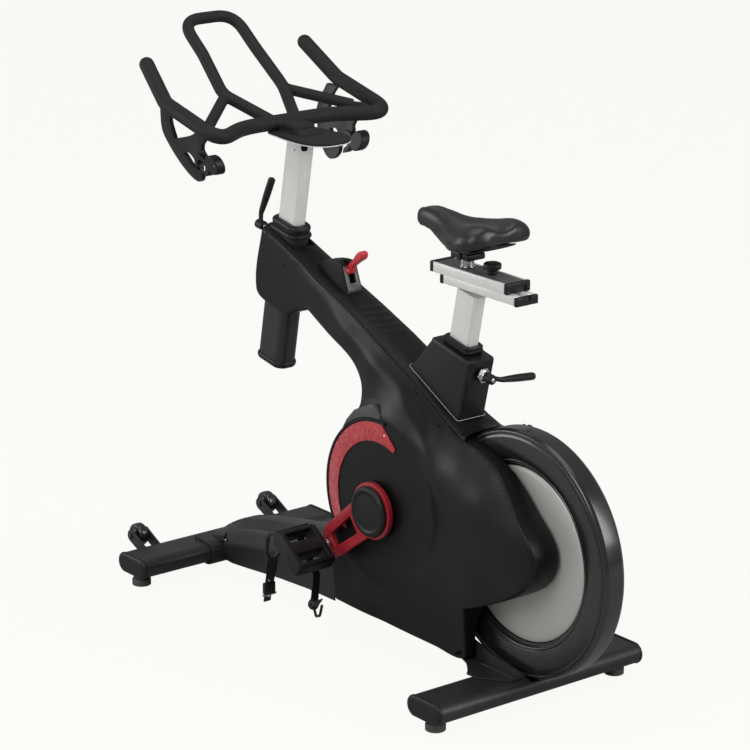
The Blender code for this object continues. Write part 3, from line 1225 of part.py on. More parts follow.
# Disc set into the left face: radius, y.
DISC_PROFILE = [(0.0330, 0.0075), (0.1728, 0.0062), (0.1728, 0.0145), (0.140, 0.0200),
                (0.0330, 0.0235)]
AXLE_PROFILE = [
    (0.0, -0.0690), (0.0095, -0.0690), (AXLE_R, -0.0685),
    (AXLE_R, BELT_Y - SMALL_PULLEY_HALF_WIDTH), (SMALL_PULLEY_R, BELT_Y - SMALL_PULLEY_HALF_WIDTH),
    (SMALL_PULLEY_R, BELT_Y + SMALL_PULLEY_HALF_WIDTH), (AXLE_R, BELT_Y + SMALL_PULLEY_HALF_WIDTH),
    (AXLE_R, 0.0525), (0.0095, 0.0530), (0.0, 0.0530)]


def build_flywheel():
    centre = (WHEEL_X, 0.0, WHEEL_Z)
    owner = joint("flywheel", centre)
    profile = WHEEL_HALF_PROFILE + [(r, -y) for r, y in reversed(WHEEL_HALF_PROFILE)]
    part("flywheel", turned(profile, centre, 40, ring=True), GLOSS_BLACK, owner)
    for side, label in SIDES:
        disc = on_side(side, turned(DISC_PROFILE, centre, 32, ring=True))
        part(f"flywheel_disc_{label}", disc, SILVER, owner)
    part("flywheel_axle", turned(AXLE_PROFILE, centre, 28), STEEL, owner)


# ---------------------------------------------------------------- resistance
# Lever side view: x, z.
LEVER_OUTLINE = [
    (0.196, 0.736), (0.2105, 0.736), (0.2115, 0.747), (0.200, 0.757), (0.186, 0.770),
    (0.170, 0.786), (0.160, 0.790), (0.154, 0.786), (0.156, 0.777), (0.172, 0.765),
    (0.190, 0.751)]
CALIPER_X, CALIPER_Z = -0.068, 0.2125  # caliper pivot


def build_resistance():
    """The lever, and the magnet caliper it moves."""
    lever = plate(LEVER_OUTLINE, -0.0058, 0.0058)
    pin = cylinder_y(LEVER_X, LEVER_Z, -0.0205, 0.0205, 0.0025, 10)
    part("resistance_lever", union(lever, pin), RED,
         joint("resistance_lever", (LEVER_X, 0.0, LEVER_Z)))
    caliper = box((-0.158, -0.0350, 0.192), (-0.060, 0.0350, 0.233), bevel=0.003)
    cut(caliper, box((-0.170, -0.0295, 0.180), (-0.084, 0.0295, 0.245)))
    union(caliper, cylinder_y(CALIPER_X, CALIPER_Z, -0.0393, 0.0393, 0.005, 12))
    part("brake_caliper", caliper, GREY, joint("brake_caliper", (CALIPER_X, 0.0, CALIPER_Z)))


# ---------------------------------------------------------------- the assembly
build_stabiliser("front", BAR_FRONT_X, half=0.247)
build_stabiliser("rear", BAR_REAR_X, half=0.252)
build_transport_wheels()
build_main_frame()
build_bearings()
build_head()
build_side_shells()
build_spine_cover()
build_sleeve_cover()
build_front_base_cover()
build_trims()
build_belt()
build_lever_housing()
build_handlebar()
build_handlebar_clamp()
build_seat_post()
carriage_joint = build_seat_carriage()
build_slide_knob()
build_seat_clamp()
build_saddle(carriage_joint)
build_crank()
build_pedals()
build_flywheel()
build_resistance()

for helper in CUTTERS.objects:
    helper.hide_render = True
    helper.display_type = "WIRE"
bpy.context.view_layer.update()
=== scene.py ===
# An upright exercise bike, standing on z = 0 and facing +X, with its left side towards +Y.
# The flywheel and saddle are at the rear (-X), the handlebar and transport wheels at the front.
# Shapes are written with the crank axis at x = 0; piece() shifts each by -CENTRE_X so that the
# bike is centred along X. Lengths are in metres.
import math

import bmesh
import bpy
import numpy as np
from mathutils import Matrix, Vector
from mathutils.geometry import delaunay_2d_cdt


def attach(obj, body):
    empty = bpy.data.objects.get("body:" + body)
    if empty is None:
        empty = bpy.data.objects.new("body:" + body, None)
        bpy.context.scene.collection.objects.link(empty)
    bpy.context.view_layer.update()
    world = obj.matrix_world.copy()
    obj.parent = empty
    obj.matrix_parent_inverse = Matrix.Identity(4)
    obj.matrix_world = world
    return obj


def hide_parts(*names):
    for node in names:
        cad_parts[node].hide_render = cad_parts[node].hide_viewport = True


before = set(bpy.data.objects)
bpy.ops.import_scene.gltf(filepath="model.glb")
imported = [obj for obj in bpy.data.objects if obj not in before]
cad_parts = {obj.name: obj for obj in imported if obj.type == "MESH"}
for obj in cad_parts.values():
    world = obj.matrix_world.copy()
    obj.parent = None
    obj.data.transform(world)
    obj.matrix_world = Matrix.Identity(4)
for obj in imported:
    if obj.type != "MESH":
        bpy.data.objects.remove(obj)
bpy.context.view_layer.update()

GAP = 0.0003
CRANK_Z, CRANK_ARM, ARM_ANGLE = 0.312, 0.170, math.radians(-38.1)
WHEEL_X, WHEEL_Z, WHEEL_R, WHEEL_HALF = -0.352, 0.304, 0.2450, 0.0265
PULLEY_R = 0.105
BELT_Y = -0.059
BAR_FRONT_X, BAR_REAR_X, BAR_Z = 0.630, -0.353, 0.046
BAR_HALF_X, BAR_HALF_Z = 0.050, 0.020
BAR_FRONT_HALF, BAR_REAR_HALF = 0.247, 0.252
FOOT_Y, FOOT_R = 0.228, 0.020
POST_HALF_X, POST_HALF_Y, POST_CHAMFER = 0.030, 0.015, 0.005
# Sloping post axes: x and z of a point on the axis, and dx/dz.
HEAD_AXIS = (0.397, 0.800, -0.180)
SEAT_AXIS = (-0.153, 0.682, -0.2126)
COVER_Z, COVER_R, COVER_Y = 0.333, 0.164, 0.088
TRANSPORT_X, TRANSPORT_Y, TRANSPORT_Z, TRANSPORT_R = 0.722, 0.171, 0.0735, 0.0245
CENTRE_X = 0.5 * (TRANSPORT_X + TRANSPORT_R + WHEEL_X - WHEEL_R)
SHIFT = Matrix.Translation((-CENTRE_X, 0.0, 0.0))
SIDES = ((1, "left"), (-1, "right"))
SCENE = bpy.context.scene


# ================================================================ shader tools
def set_inputs(tree, node, inputs):
    """Sets each input to a value, or links it to the socket that feeds it."""
    for key, value in inputs.items():
        if isinstance(value, bpy.types.NodeSocket):
            tree.links.new(value, node.inputs[key])
        else:
            node.inputs[key].default_value = value


def shader_node(tree, kind, inputs, **settings):
    node = tree.nodes.new(kind)
    for key, value in settings.items():
        setattr(node, key, value)
    set_inputs(tree, node, inputs)
    return node


def new_material(name):
    material = bpy.data.materials.new(name)
    material.use_nodes = True
    tree = material.node_tree
    return material, tree, tree.nodes["Principled BSDF"]


def object_coords(tree, inputs):
    """Object coordinates through a mapping node with the given inputs."""
    coords = tree.nodes.new("ShaderNodeTexCoord").outputs["Object"]
    mapping = shader_node(tree, "ShaderNodeMapping", {**inputs, "Vector": coords})
    return mapping.outputs["Vector"]


def noise(tree, scale, detail=5.0, rough=0.55, stretch=(1, 1, 1), distortion=0.0):
    node = shader_node(tree, "ShaderNodeTexNoise", {
        "Scale": scale, "Detail": detail, "Roughness": rough, "Distortion": distortion,
        "Vector": object_coords(tree, {"Scale": stretch})})
    return node.outputs["Fac"]


def rings(tree, scale, centre):
    """Noise in rings about a line along Y through centre (x, z)."""
    flat = object_coords(tree, {"Location": (-centre[0], 0.0, -centre[1]),
                                "Scale": (1.0, 0.0, 1.0)})
    radius = shader_node(tree, "ShaderNodeVectorMath", {0: flat}, operation="LENGTH")
    node = shader_node(tree, "ShaderNodeTexNoise", {
        "Scale": scale, "Detail": 6.0, "Roughness": 0.7,
        "W": radius.outputs["Value"]}, noise_dimensions="1D")
    return node.outputs["Fac"]


def ranged(tree, value, low, high, from_low=0.3, from_high=0.7):
    node = shader_node(tree, "ShaderNodeMapRange", {
        "From Min": from_low, "From Max": from_high, "To Min": low, "To Max": high,
        "Value": value})
    return node.outputs["Result"]


def scaled(colour, factor):
    return tuple(channel * factor for channel in colour)


def blended(tree, factor, first, second):
    """Mixes two colours, each a socket or an (r, g, b) tuple."""
    factor_in, first_in, second_in, colour_out = 0, 6, 7, 2
    colours = [(*item, 1.0) if isinstance(item, tuple) else item for item in (first, second)]
    node = shader_node(tree, "ShaderNodeMix", {}, data_type="RGBA")
    set_inputs(tree, node, {first_in: colours[0], second_in: colours[1], factor_in: factor})
    return node.outputs[colour_out]


def bumped(tree, shader, layers):
    """Stacks bump layers, each (height socket, strength, distance)."""
    inputs = {}
    for height, strength, distance in layers:
        inputs.update({"Strength": strength, "Distance": distance, "Height": height})
        normal = shader_node(tree, "ShaderNodeBump", inputs).outputs["Normal"]
        inputs = {"Normal": normal}
    set_inputs(tree, shader, inputs)


# ================================================================ materials
def plastic(name, colour, rough, grain, bump, spread, specular, coat=0.0):
    """Plastic, rubber or paint: fine grain and broad, paler patches."""
    material, tree, shader = new_material(name)
    fine = noise(tree, scale=grain, detail=4.0, rough=0.6)
    broad = noise(tree, scale=9.0, detail=4.0, rough=0.6)
    tone = blended(tree, ranged(tree, fine, low=0.0, high=1.0),
                   scaled(colour, 1 - spread), scaled(colour, 1 + spread))
    tone = blended(tree, ranged(tree, broad, low=0.0, high=0.35), tone, scaled(colour, 1.35))
    set_inputs(tree, shader, {
        "Base Color": tone, "Roughness": ranged(tree, broad, low=rough - 0.05, high=rough + 0.06),
        "Specular IOR Level": specular, "Coat Weight": coat, "Coat Roughness": 0.12})
    bumped(tree, shader, [(fine, bump, 0.0003), (broad, 0.04, 0.002)])
    return material


def metal(name, colour, rough, scale, stretch=None, ring_centre=None,
          metallic=0.35, bump=0.03, spread=0.05):
    """Metal brushed along the stretch, or turned in rings about ring_centre."""
    material, tree, shader = new_material(name)
    if ring_centre:
        fine = rings(tree, scale, ring_centre)
    else:
        fine = noise(tree, scale, detail=6.0, rough=0.7, stretch=stretch)
    broad = noise(tree, scale=14.0, detail=3.0)
    tone = blended(tree, ranged(tree, fine, low=0.0, high=1.0),
                   scaled(colour, 1 - spread), scaled(colour, 1 + spread))
    tone = blended(tree, ranged(tree, broad, low=0.0, high=0.25), tone, scaled(colour, 0.85))
    set_inputs(tree, shader, {
        "Base Color": tone, "Roughness": ranged(tree, fine, low=rough - 0.06, high=rough + 0.08),
        "Metallic": metallic})
    bumped(tree, shader, [(fine, bump, 0.0003)])
    return material


def leather(name, colour):
    """Grained cover with small cells, pores and slow shading."""
    material, tree, shader = new_material(name)
    cells = shader_node(tree, "ShaderNodeTexVoronoi", {
        "Scale": 420.0, "Vector": object_coords(tree, {"Scale": (1.0, 1.0, 1.0)})},
        feature="DISTANCE_TO_EDGE")
    pores = noise(tree, scale=1500.0, detail=3.0)
    broad = noise(tree, scale=16.0, detail=4.0)
    tone = blended(tree, ranged(tree, broad, low=0.0, high=1.0),
                   scaled(colour, 0.8), scaled(colour, 1.3))
    set_inputs(tree, shader, {
        "Base Color": tone, "Roughness": ranged(tree, broad, low=0.30, high=0.40),
        "Specular IOR Level": 0.5})
    creases = ranged(tree, cells.outputs["Distance"], low=0.0, high=1.0,
                     from_low=0.0, from_high=0.25)
    bumped(tree, shader, [(creases, 0.10, 0.0003), (pores, 0.05, 0.0002), (broad, 0.05, 0.003)])
    return material


def mottled_red(name):
    """Red with dark and bright flecks, paler towards the lower end."""
    dark, bright = (0.30, 0.012, 0.020), (0.62, 0.030, 0.040)
    patch, pale = (0.55, 0.13, 0.15), (0.62, 0.26, 0.29)
    material, tree, shader = new_material(name)
    fine = noise(tree, scale=170.0, detail=8.0, rough=0.75, distortion=1.2)
    big = noise(tree, scale=42.0, detail=6.0, rough=0.7, distortion=2.0)
    flecks = ranged(tree, fine, low=0.0, high=1.0, from_low=0.38, from_high=0.62)
    base = blended(tree, flecks, dark, bright)
    patches = ranged(tree, big, low=0.0, high=0.75, from_low=0.52, from_high=0.66)
    base = blended(tree, patches, base, patch)
    coords = tree.nodes.new("ShaderNodeTexCoord").outputs["Object"]
    split = shader_node(tree, "ShaderNodeSeparateXYZ", {"Vector": coords})
    # From z = 0.46 m down to z = 0.27 m the pale flecks fade in.
    down = ranged(tree, split.outputs["Z"], low=0.0, high=0.45, from_low=0.46, from_high=0.27)
    pale_flecks = ranged(tree, fine, low=0.25, high=1.0, from_low=0.4, from_high=0.6)
    share = shader_node(tree, "ShaderNodeMath", {0: down, 1: pale_flecks}, operation="MULTIPLY")
    tone = blended(tree, share.outputs["Value"], base, pale)
    set_inputs(tree, shader, {
        "Base Color": tone, "Roughness": ranged(tree, big, low=0.25, high=0.42),
        "Coat Weight": 0.3})
    bumped(tree, shader, [(fine, 0.15, 0.0004)])
    return material


# Finish, slot, then colour, roughness, grain scale, grain bump, tone spread, specular and,
# for some, coat weight.
PLASTICS = [
    ("shell_black", "shell_black", (0.0052, 0.0052, 0.0055), 0.36, 1500.0, 0.08, 0.15, 0.25),
    ("spine_black", "shell_black", (0.0050, 0.0050, 0.0053), 0.40, 1500.0, 0.08, 0.15, 0.20),
    ("cover_black", "shell_black", (0.0070, 0.0070, 0.0075), 0.55, 1100.0, 0.12, 0.15, 0.25),
    ("frame_paint", "frame_paint", (0.018, 0.018, 0.019), 0.40, 700.0, 0.10, 0.20, 0.42),
    ("hood_plastic", "moulded_black", (0.0130, 0.0130, 0.0138), 0.36, 1000.0, 0.10, 0.15, 0.45),
    ("moulded_black", "moulded_black", (0.0075, 0.0075, 0.0080), 0.42, 900.0, 0.12, 0.20, 0.34),
    ("grip_black", "grip_black", (0.017, 0.017, 0.0183), 0.60, 900.0, 0.10, 0.12, 0.20),
    ("housing_grey", "housing_grey", (0.060, 0.063, 0.067), 0.38, 1000.0, 0.12, 0.15, 0.45),
    ("dark_slot", "shell_black", (0.004, 0.004, 0.004), 0.7, 900.0, 0.1, 0.2, 0.1),
    ("foot_rubber", "foot_metal", (0.085, 0.085, 0.083), 0.75, 500.0, 0.3, 0.2, 0.2),
    ("belt_rubber", None, (0.012, 0.012, 0.012), 0.8, 400.0, 0.3, 0.2, 0.2),
    ("arm_red", "arm_red", (0.335, 0.0145, 0.0235), 0.36, 500.0, 0.08, 0.12, 0.45, 0.25),
    ("lever_red", "arm_red", (0.50, 0.020, 0.035), 0.38, 500.0, 0.08, 0.10, 0.45, 0.15),
    ("wheel_black", "wheel_black", (0.0100, 0.0100, 0.0108), 0.24, 700.0, 0.02, 0.10, 0.60, 0.25),
    ("channel_grey", "housing_grey", (0.085, 0.085, 0.084), 0.45, 800.0, 0.1, 0.2, 0.4),
    # Pale grey for the seat box bead: a painted highlight along the box's base edge.
    ("line_grey", "post_aluminium", (0.30, 0.30, 0.30), 0.4, 500.0, 0.05, 0.1, 0.4),
    ("dot_white", "post_aluminium", (0.75, 0.75, 0.75), 0.4, 500.0, 0.05, 0.05, 0.4),
]
# Finish name to (material, usual slot).
FINISHES = {name: (plastic(f"mat_{name}", *values), slot) for name, slot, *values in PLASTICS}
FINISHES["trim_red"] = (mottled_red("mat_trim_red"), "arm_red")
FINISHES["saddle_black"] = (
    leather("mat_saddle_black", colour=(0.0115, 0.0115, 0.0125)), "saddle_cover")
FINISHES["post_aluminium"] = (
    metal("mat_post_aluminium", colour=(0.80, 0.80, 0.78), rough=0.36, scale=420.0,
          stretch=(1.0, 1.0, 0.10)), "post_aluminium")
FINISHES["rail_aluminium"] = (
    metal("mat_rail_aluminium", colour=(0.82, 0.82, 0.80), rough=0.34, scale=420.0,
          stretch=(0.10, 1.0, 1.0)), "post_aluminium")
FINISHES["machined_steel"] = (
    metal("mat_machined_steel", colour=(0.58, 0.58, 0.57), rough=0.26, scale=300.0,
          stretch=(1.0, 0.05, 1.0), metallic=1.0, bump=0.05, spread=0.10), "machined_steel")
FINISHES["disc_silver"] = (
    metal("mat_disc_silver", colour=(0.56, 0.56, 0.53), rough=0.46, scale=900.0,
          ring_centre=(WHEEL_X - CENTRE_X, WHEEL_Z)), "disc_silver")


# ================================================================ mesh tools
def new_object(name, work):
    """Links a new object made from a bmesh, which is freed."""
    mesh = bpy.data.meshes.new(name)
    work.to_mesh(mesh)
    work.free()
    made = bpy.data.objects.new(name, mesh)
    SCENE.collection.objects.link(made)
    return made


def bmesh_of(mesh):
    work = bmesh.new()
    work.from_mesh(mesh)
    return work


def evaluated_mesh(source):
    bpy.context.view_layer.update()
    graph = bpy.context.evaluated_depsgraph_get()
    return bpy.data.meshes.new_from_object(source.evaluated_get(graph), depsgraph=graph)


def solidified(source):
    """Replaces a curve or a modified object by a welded mesh, with its transform applied."""
    mesh = evaluated_mesh(source)
    mesh.transform(source.matrix_world)
    work = bmesh_of(mesh)
    bmesh.ops.remove_doubles(work, verts=work.verts, dist=2e-6)
    bmesh.ops.recalc_face_normals(work, faces=work.faces)
    name = source.name
    bpy.data.objects.remove(source, do_unlink=True)
    return new_object(name, work)


def modified(source, kind, **settings):
    modifier = source.modifiers.new(kind, kind)
    for key, value in settings.items():
        setattr(modifier, key, value)


def baked(source):
    """Applies every modifier of source."""
    mesh = evaluated_mesh(source)
    source.modifiers.clear()
    source.data = mesh
    return source


def cut(body, *cutters):
    for cutter in cutters:
        modified(body, "BOOLEAN", operation="DIFFERENCE", object=cutter, solver="EXACT")
        baked(body)
        bpy.data.objects.remove(cutter, do_unlink=True)
    return body


def joined(*items):
    """One object out of several, without cutting them."""
    work = bmesh.new()
    for item in items:
        work.from_mesh(item.data)
        bpy.data.objects.remove(item, do_unlink=True)
    return new_object("joined", work)


def softened(body, width, segments=3, angle=28):
    """Rounds the edges sharper than angle degrees."""
    work = bmesh_of(body.data)
    bmesh.ops.remove_doubles(work, verts=work.verts, dist=2e-6)
    bmesh.ops.dissolve_limit(work, angle_limit=math.radians(0.7),
                             verts=work.verts, edges=work.edges)
    work.to_mesh(body.data)
    work.free()
    modified(body, "BEVEL", width=width, segments=segments, limit_method="ANGLE",
             angle_limit=math.radians(angle), use_clamp_overlap=True, miter_outer="MITER_ARC")
    return baked(body)


def thickened(skin, thickness, axis):
    """Thickens an open skin inwards, after turning its furthest face along axis outwards."""
    furthest = max(skin.data.polygons, key=lambda face: face.center[axis])
    if furthest.normal[axis] < 0:
        skin.data.flip_normals()
    modified(skin, "SOLIDIFY", thickness=thickness, offset=-1.0, use_even_offset=False)
    return baked(skin)


def mirrored_y(source, keep=True):
    """A mirror image across y = 0; keep says whether the source stays too."""
    work = bmesh_of(source.data)
    for vert in work.verts:
        vert.co.y = -vert.co.y
    bmesh.ops.reverse_faces(work, faces=work.faces)
    made = new_object(source.name, work)
    if not keep:
        bpy.data.objects.remove(source, do_unlink=True)
    return made


def turned_about_y(source, angle, x, z):
    cosine, sine = math.cos(angle), math.sin(angle)
    for vert in source.data.vertices:
        off_x, off_z = vert.co.x - x, vert.co.z - z
        vert.co.x = x + cosine * off_x - sine * off_z
        vert.co.z = z + sine * off_x + cosine * off_z
    return source


# ---------------------------------------------------------------- solids
def box(low, high, bevel=0.0, segments=3):
    work = bmesh.new()
    bmesh.ops.create_cube(work, size=1.0)
    size = Vector(high) - Vector(low)
    centre = (Vector(high) + Vector(low)) / 2
    for vert in work.verts:
        spread = (vert.co.x * size.x, vert.co.y * size.y, vert.co.z * size.z)
        vert.co = Vector(spread) + centre
    if bevel:
        bmesh.ops.bevel(work, geom=list(work.edges), offset=bevel, segments=segments,
                        profile=0.5, affect="EDGES")
    return new_object("box", work)


def cylinder(start, end, radius, segments=48, bevel=0.0):
    start, end = Vector(start), Vector(end)
    work = bmesh.new()
    bmesh.ops.create_cone(work, cap_ends=True, segments=segments, radius1=radius,
                          radius2=radius, depth=(end - start).length)
    if bevel:
        rims = [edge for edge in work.edges
                if abs(edge.verts[0].co.z - edge.verts[1].co.z) < 1e-7]
        bmesh.ops.bevel(work, geom=rims, offset=bevel, segments=3, profile=0.5, affect="EDGES")
    turn = Vector((0, 0, 1)).rotation_difference((end - start).normalized())
    work.transform(Matrix.Translation((start + end) / 2) @ turn.to_matrix().to_4x4())
    return new_object("cylinder", work)


def ball(centre, radius, scale=(1, 1, 1)):
    work = bmesh.new()
    bmesh.ops.create_uvsphere(work, u_segments=32, v_segments=16, radius=radius)
    for vert in work.verts:
        spread = (vert.co.x * scale[0], vert.co.y * scale[1], vert.co.z * scale[2])
        vert.co = Vector(spread) + Vector(centre)
    return new_object("ball", work)


def corner_curve(start, corner, end, segments):
    """A quadratic curve from start to end, pulled towards corner."""
    shares = [k / segments for k in range(segments + 1)]
    return [(1 - t) ** 2 * start + 2 * t * (1 - t) * corner + t ** 2 * end for t in shares]


def eased(profile, radius, segments=3, closed=False):
    """A 2D polyline with each corner eased; short runs use less."""
    count = len(profile)
    made = []
    for i, here in enumerate(profile):
        if not closed and i in (0, count - 1):
            made.append(here)
            continue
        here = Vector(here)
        back = Vector(profile[i - 1]) - here
        ahead = Vector(profile[(i + 1) % count]) - here
        if back.length < 1e-6 or ahead.length < 1e-6:
            continue
        if math.degrees(back.angle(ahead)) > 174:
            made.append(tuple(here))
            continue
        reach = min(radius, 0.45 * back.length, 0.45 * ahead.length)
        start, end = here + back.normalized() * reach, here + ahead.normalized() * reach
        made += [tuple(point) for point in corner_curve(start, here, end, segments)]
    return made


def turned(profile, centre, axis=(0, 1, 0), steps=96, ring=False, ease=0.0008):
    """Turns a profile of (radius, place along axis) about the axis; ring closes the profile."""
    if ease:
        profile = eased(profile, ease, closed=ring)
    mesh = bpy.data.meshes.new("profile")
    count = len(profile)
    edges = [(i, i + 1) for i in range(count - 1)] + ([(count - 1, 0)] if ring else [])
    mesh.from_pydata([(radius, 0.0, height) for radius, height in profile], edges, [])
    made = bpy.data.objects.new("turned", mesh)
    SCENE.collection.objects.link(made)
    modified(made, "SCREW", axis="Z", steps=steps, render_steps=steps,
             use_merge_vertices=True, merge_threshold=1e-5)
    made = solidified(made)
    turn = Vector((0, 0, 1)).rotation_difference(Vector(axis).normalized())
    made.data.transform(Matrix.Translation(centre) @ turn.to_matrix().to_4x4())
    return made


def plate(outline, y_low, y_high, holes=()):
    """A flat plate across Y from an outline of (x, z)."""
    curve = bpy.data.curves.new("plate", "CURVE")
    curve.dimensions = "2D"
    curve.fill_mode = "BOTH"
    curve.extrude = (y_high - y_low) / 2
    for loop in (outline, *holes):
        spline = curve.splines.new("POLY")
        spline.points.add(len(loop) - 1)
        for point, (x, z) in zip(spline.points, loop):
            point.co = (x, z, 0.0, 1.0)
        spline.use_cyclic_u = True
    made = bpy.data.objects.new("plate", curve)
    SCENE.collection.objects.link(made)
    made.rotation_euler = (math.pi / 2, 0, 0)
    made.location = (0, (y_low + y_high) / 2, 0)
    return solidified(made)


def slab(outline, z_low, z_high, holes=()):
    """A flat plate across Z from an outline of (x, y)."""
    made = plate(outline, z_low, z_high, holes)
    work = bmesh_of(made.data)
    for vert in work.verts:
        x, y, z = vert.co
        vert.co = (x, z, y)
    bmesh.ops.reverse_faces(work, faces=work.faces)
    work.to_mesh(made.data)
    work.free()
    return made


def fillet_path(points, radius, segments=10):
    """A 3D polyline with filleted corners; radius is one value or one for each point."""
    points = [Vector(point) for point in points]
    radii = radius if isinstance(radius, list) else [radius] * len(points)
    path = [points[0]]
    for i in range(1, len(points) - 1):
        before, here, after = points[i - 1], points[i], points[i + 1]
        back, ahead = (before - here).normalized(), (after - here).normalized()
        reach = min(radii[i] / math.tan(back.angle(ahead) / 2),
                    0.48 * (before - here).length, 0.48 * (after - here).length)
        path += corner_curve(here + back * reach, here, here + ahead * reach, segments)
    path.append(points[-1])
    return path


def tube(path, radius, resolution=8, radii=None):
    """A round tube along a path; radii are factors on the radius."""
    curve = bpy.data.curves.new("tube", "CURVE")
    curve.dimensions = "3D"
    curve.bevel_depth = radius
    curve.bevel_resolution = resolution
    curve.use_fill_caps = True
    spline = curve.splines.new("POLY")
    spline.points.add(len(path) - 1)
    for i, (point, place) in enumerate(zip(spline.points, path)):
        point.co = (*place, 1.0)
        if radii:
            point.radius = radii[i]
    made = bpy.data.objects.new("tube", curve)
    SCENE.collection.objects.link(made)
    return solidified(made)


def vertex_rows(work, loops):
    return [[work.verts.new(point) for point in loop] for loop in loops]


def bridge(work, rows):
    """Quads between each closed row of vertices and the next."""
    count = len(rows[0])
    for first, second in zip(rows, rows[1:]):
        for i in range(count):
            j = (i + 1) % count
            work.faces.new((first[i], first[j], second[j], second[i]))


def loft(loops):
    """A closed solid through loops with equal point counts."""
    work = bmesh.new()
    rows = vertex_rows(work, loops)
    bridge(work, rows)
    work.faces.new(rows[0])
    work.faces.new(rows[-1])
    bmesh.ops.recalc_face_normals(work, faces=work.faces)
    return new_object("loft", work)


def ring_loft(outer_loops, inner_loops):
    """A hollow loft, closed between its outer and inner loops at both ends."""
    work = bmesh.new()
    outer = vertex_rows(work, outer_loops)
    inner = vertex_rows(work, inner_loops)
    bridge(work, outer)
    bridge(work, inner)
    for end in (0, -1):
        bridge(work, [outer[end], inner[end]])
    bmesh.ops.recalc_face_normals(work, faces=work.faces)
    return new_object("ring", work)


# ---------------------------------------------------------------- outlines
def mirrored_run(points):
    """The points, then their images in reverse order with the second coordinate negated."""
    return points + [(x, -y, *rest) for x, y, *rest in reversed(points)]


def rectangle(x_first, x_last, low, high):
    return [(x_first, low), (x_last, low), (x_last, high), (x_first, high)]


def stadium(half_length, radius, arc_count=20):
    loop = []
    for sign, start in ((1, -math.pi / 2), (-1, math.pi / 2)):
        for i in range(arc_count + 1):
            angle = start + math.pi * i / arc_count
            loop.append((sign * (half_length - radius) + radius * math.cos(angle),
                         radius * math.sin(angle)))
    return loop


def rounded(half_x, half_y, radius, count=10):
    """A rectangle with round corners of count steps each."""
    loop = []
    for sign_x, sign_y, start in ((1, 1, 0), (-1, 1, 90), (-1, -1, 180), (1, -1, 270)):
        for i in range(count + 1):
            angle = math.radians(start + 90 * i / count)
            loop.append((sign_x * (half_x - radius) + radius * math.cos(angle),
                         sign_y * (half_y - radius) + radius * math.sin(angle)))
    return loop


def matched(half_x, half_y, radius, count):
    """A rounded rectangle with count points, evenly spread by angle, to pair with another."""
    loop = rounded(half_x, half_y, radius, 24)
    order = sorted((math.atan2(y / half_y, x / half_x), i) for i, (x, y) in enumerate(loop))
    angles = [angle for angle, i in order]
    made = []
    for k in range(count):
        angle = -math.pi + 2 * math.pi * (k + 0.5) / count
        made.append(tuple(
            float(np.interp(angle, angles, [loop[i][column] for _, i in order],
                            period=2 * math.pi)) for column in (0, 1)))
    return made


def chamfered(half_x, half_y, chamfer):
    near_x, near_y = half_x - chamfer, half_y - chamfer
    return [(half_x, near_y), (near_x, half_y), (-half_x + chamfer, half_y), (-half_x, near_y),
            (-half_x, -half_y + chamfer), (-half_x + chamfer, -half_y), (near_x, -half_y),
            (half_x, -half_y + chamfer)]


def arc(centre_x, centre_z, radius, start, end, count):
    """count + 1 points from the start angle to the end angle, in degrees."""
    angles = [math.radians(start + (end - start) * i / count) for i in range(count + 1)]
    return [(centre_x + radius * math.cos(a), centre_z + radius * math.sin(a)) for a in angles]


def cover_arc(radius, start, end, count):
    return arc(0.0, COVER_Z, radius, start, end, count)


def axis_x(axis, z):
    x_ref, z_ref, slope = axis
    return x_ref + slope * (z - z_ref)


def across(axis, loop, z):
    """A flat loop laid square to a sloping post axis at height z."""
    length = math.hypot(1.0, axis[2])
    unit_x, unit_z = 1.0 / length, -axis[2] / length
    return [(axis_x(axis, z) + u * unit_x, v, z + u * unit_z) for u, v in loop]


def spliced(points, step=0.004, sharp=38.0):
    """A closed loop, curved through gentle corners and kept at those over sharp degrees.

    Columns after the first two are interpolated along.
    """
    count = len(points)
    places = [np.array(point, float) for point in points]
    flat = [place[:2] for place in places]
    tangents = []
    for i in range(count):
        before, here, after = flat[i - 1], flat[i], flat[(i + 1) % count]
        arriving = (here - before) / (np.linalg.norm(here - before) + 1e-12)
        leaving = (after - here) / (np.linalg.norm(after - here) + 1e-12)
        turn = math.degrees(math.acos(max(-1.0, min(1.0, float(arriving @ leaving)))))
        if turn > sharp:
            tangents.append((arriving, leaving))
        else:
            mean = (arriving + leaving) / np.linalg.norm(arriving + leaving)
            tangents.append((mean, mean))
    made = []
    for i in range(count):
        j = (i + 1) % count
        length = np.linalg.norm(flat[j] - flat[i])
        steps = max(1, int(round(length / step)))
        out, into = tangents[i][1] * length, tangents[j][0] * length
        for k in range(steps):
            t = k / steps
            place = ((2 * t ** 3 - 3 * t ** 2 + 1) * flat[i] + (t ** 3 - 2 * t ** 2 + t) * out
                     + (-2 * t ** 3 + 3 * t ** 2) * flat[j] + (t ** 3 - t ** 2) * into)
            rest = (1 - t) * places[i][2:] + t * places[j][2:]
            made.append((*place, *rest))
    return made


def smoothstep(low, high, value):
    t = np.clip((value - low) / (high - low), 0.0, 1.0)
    return t * t * (3 - 2 * t)


# ---------------------------------------------------------------- placing
def piece(name, shape, finish, body="frame", replaces=None, sharp=34, slot=None):
    """Puts a finished shape in place: shifted, shaded, riding on its body.

    sharp is the angle in degrees above which edges are shaded sharp.
    """
    material, usual_slot = FINISHES[finish]
    shape.data.transform(SHIFT)
    shape.name = name
    shape.data.name = name
    shape.data.materials.clear()
    shape.data.materials.append(material)
    for polygon in shape.data.polygons:
        polygon.material_index = 0
    shape.data.shade_smooth()
    shape.data.set_sharp_from_angle(angle=math.radians(sharp))
    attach(shape, body)
    slot or usual_slot
    if replaces:
        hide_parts(replaces)


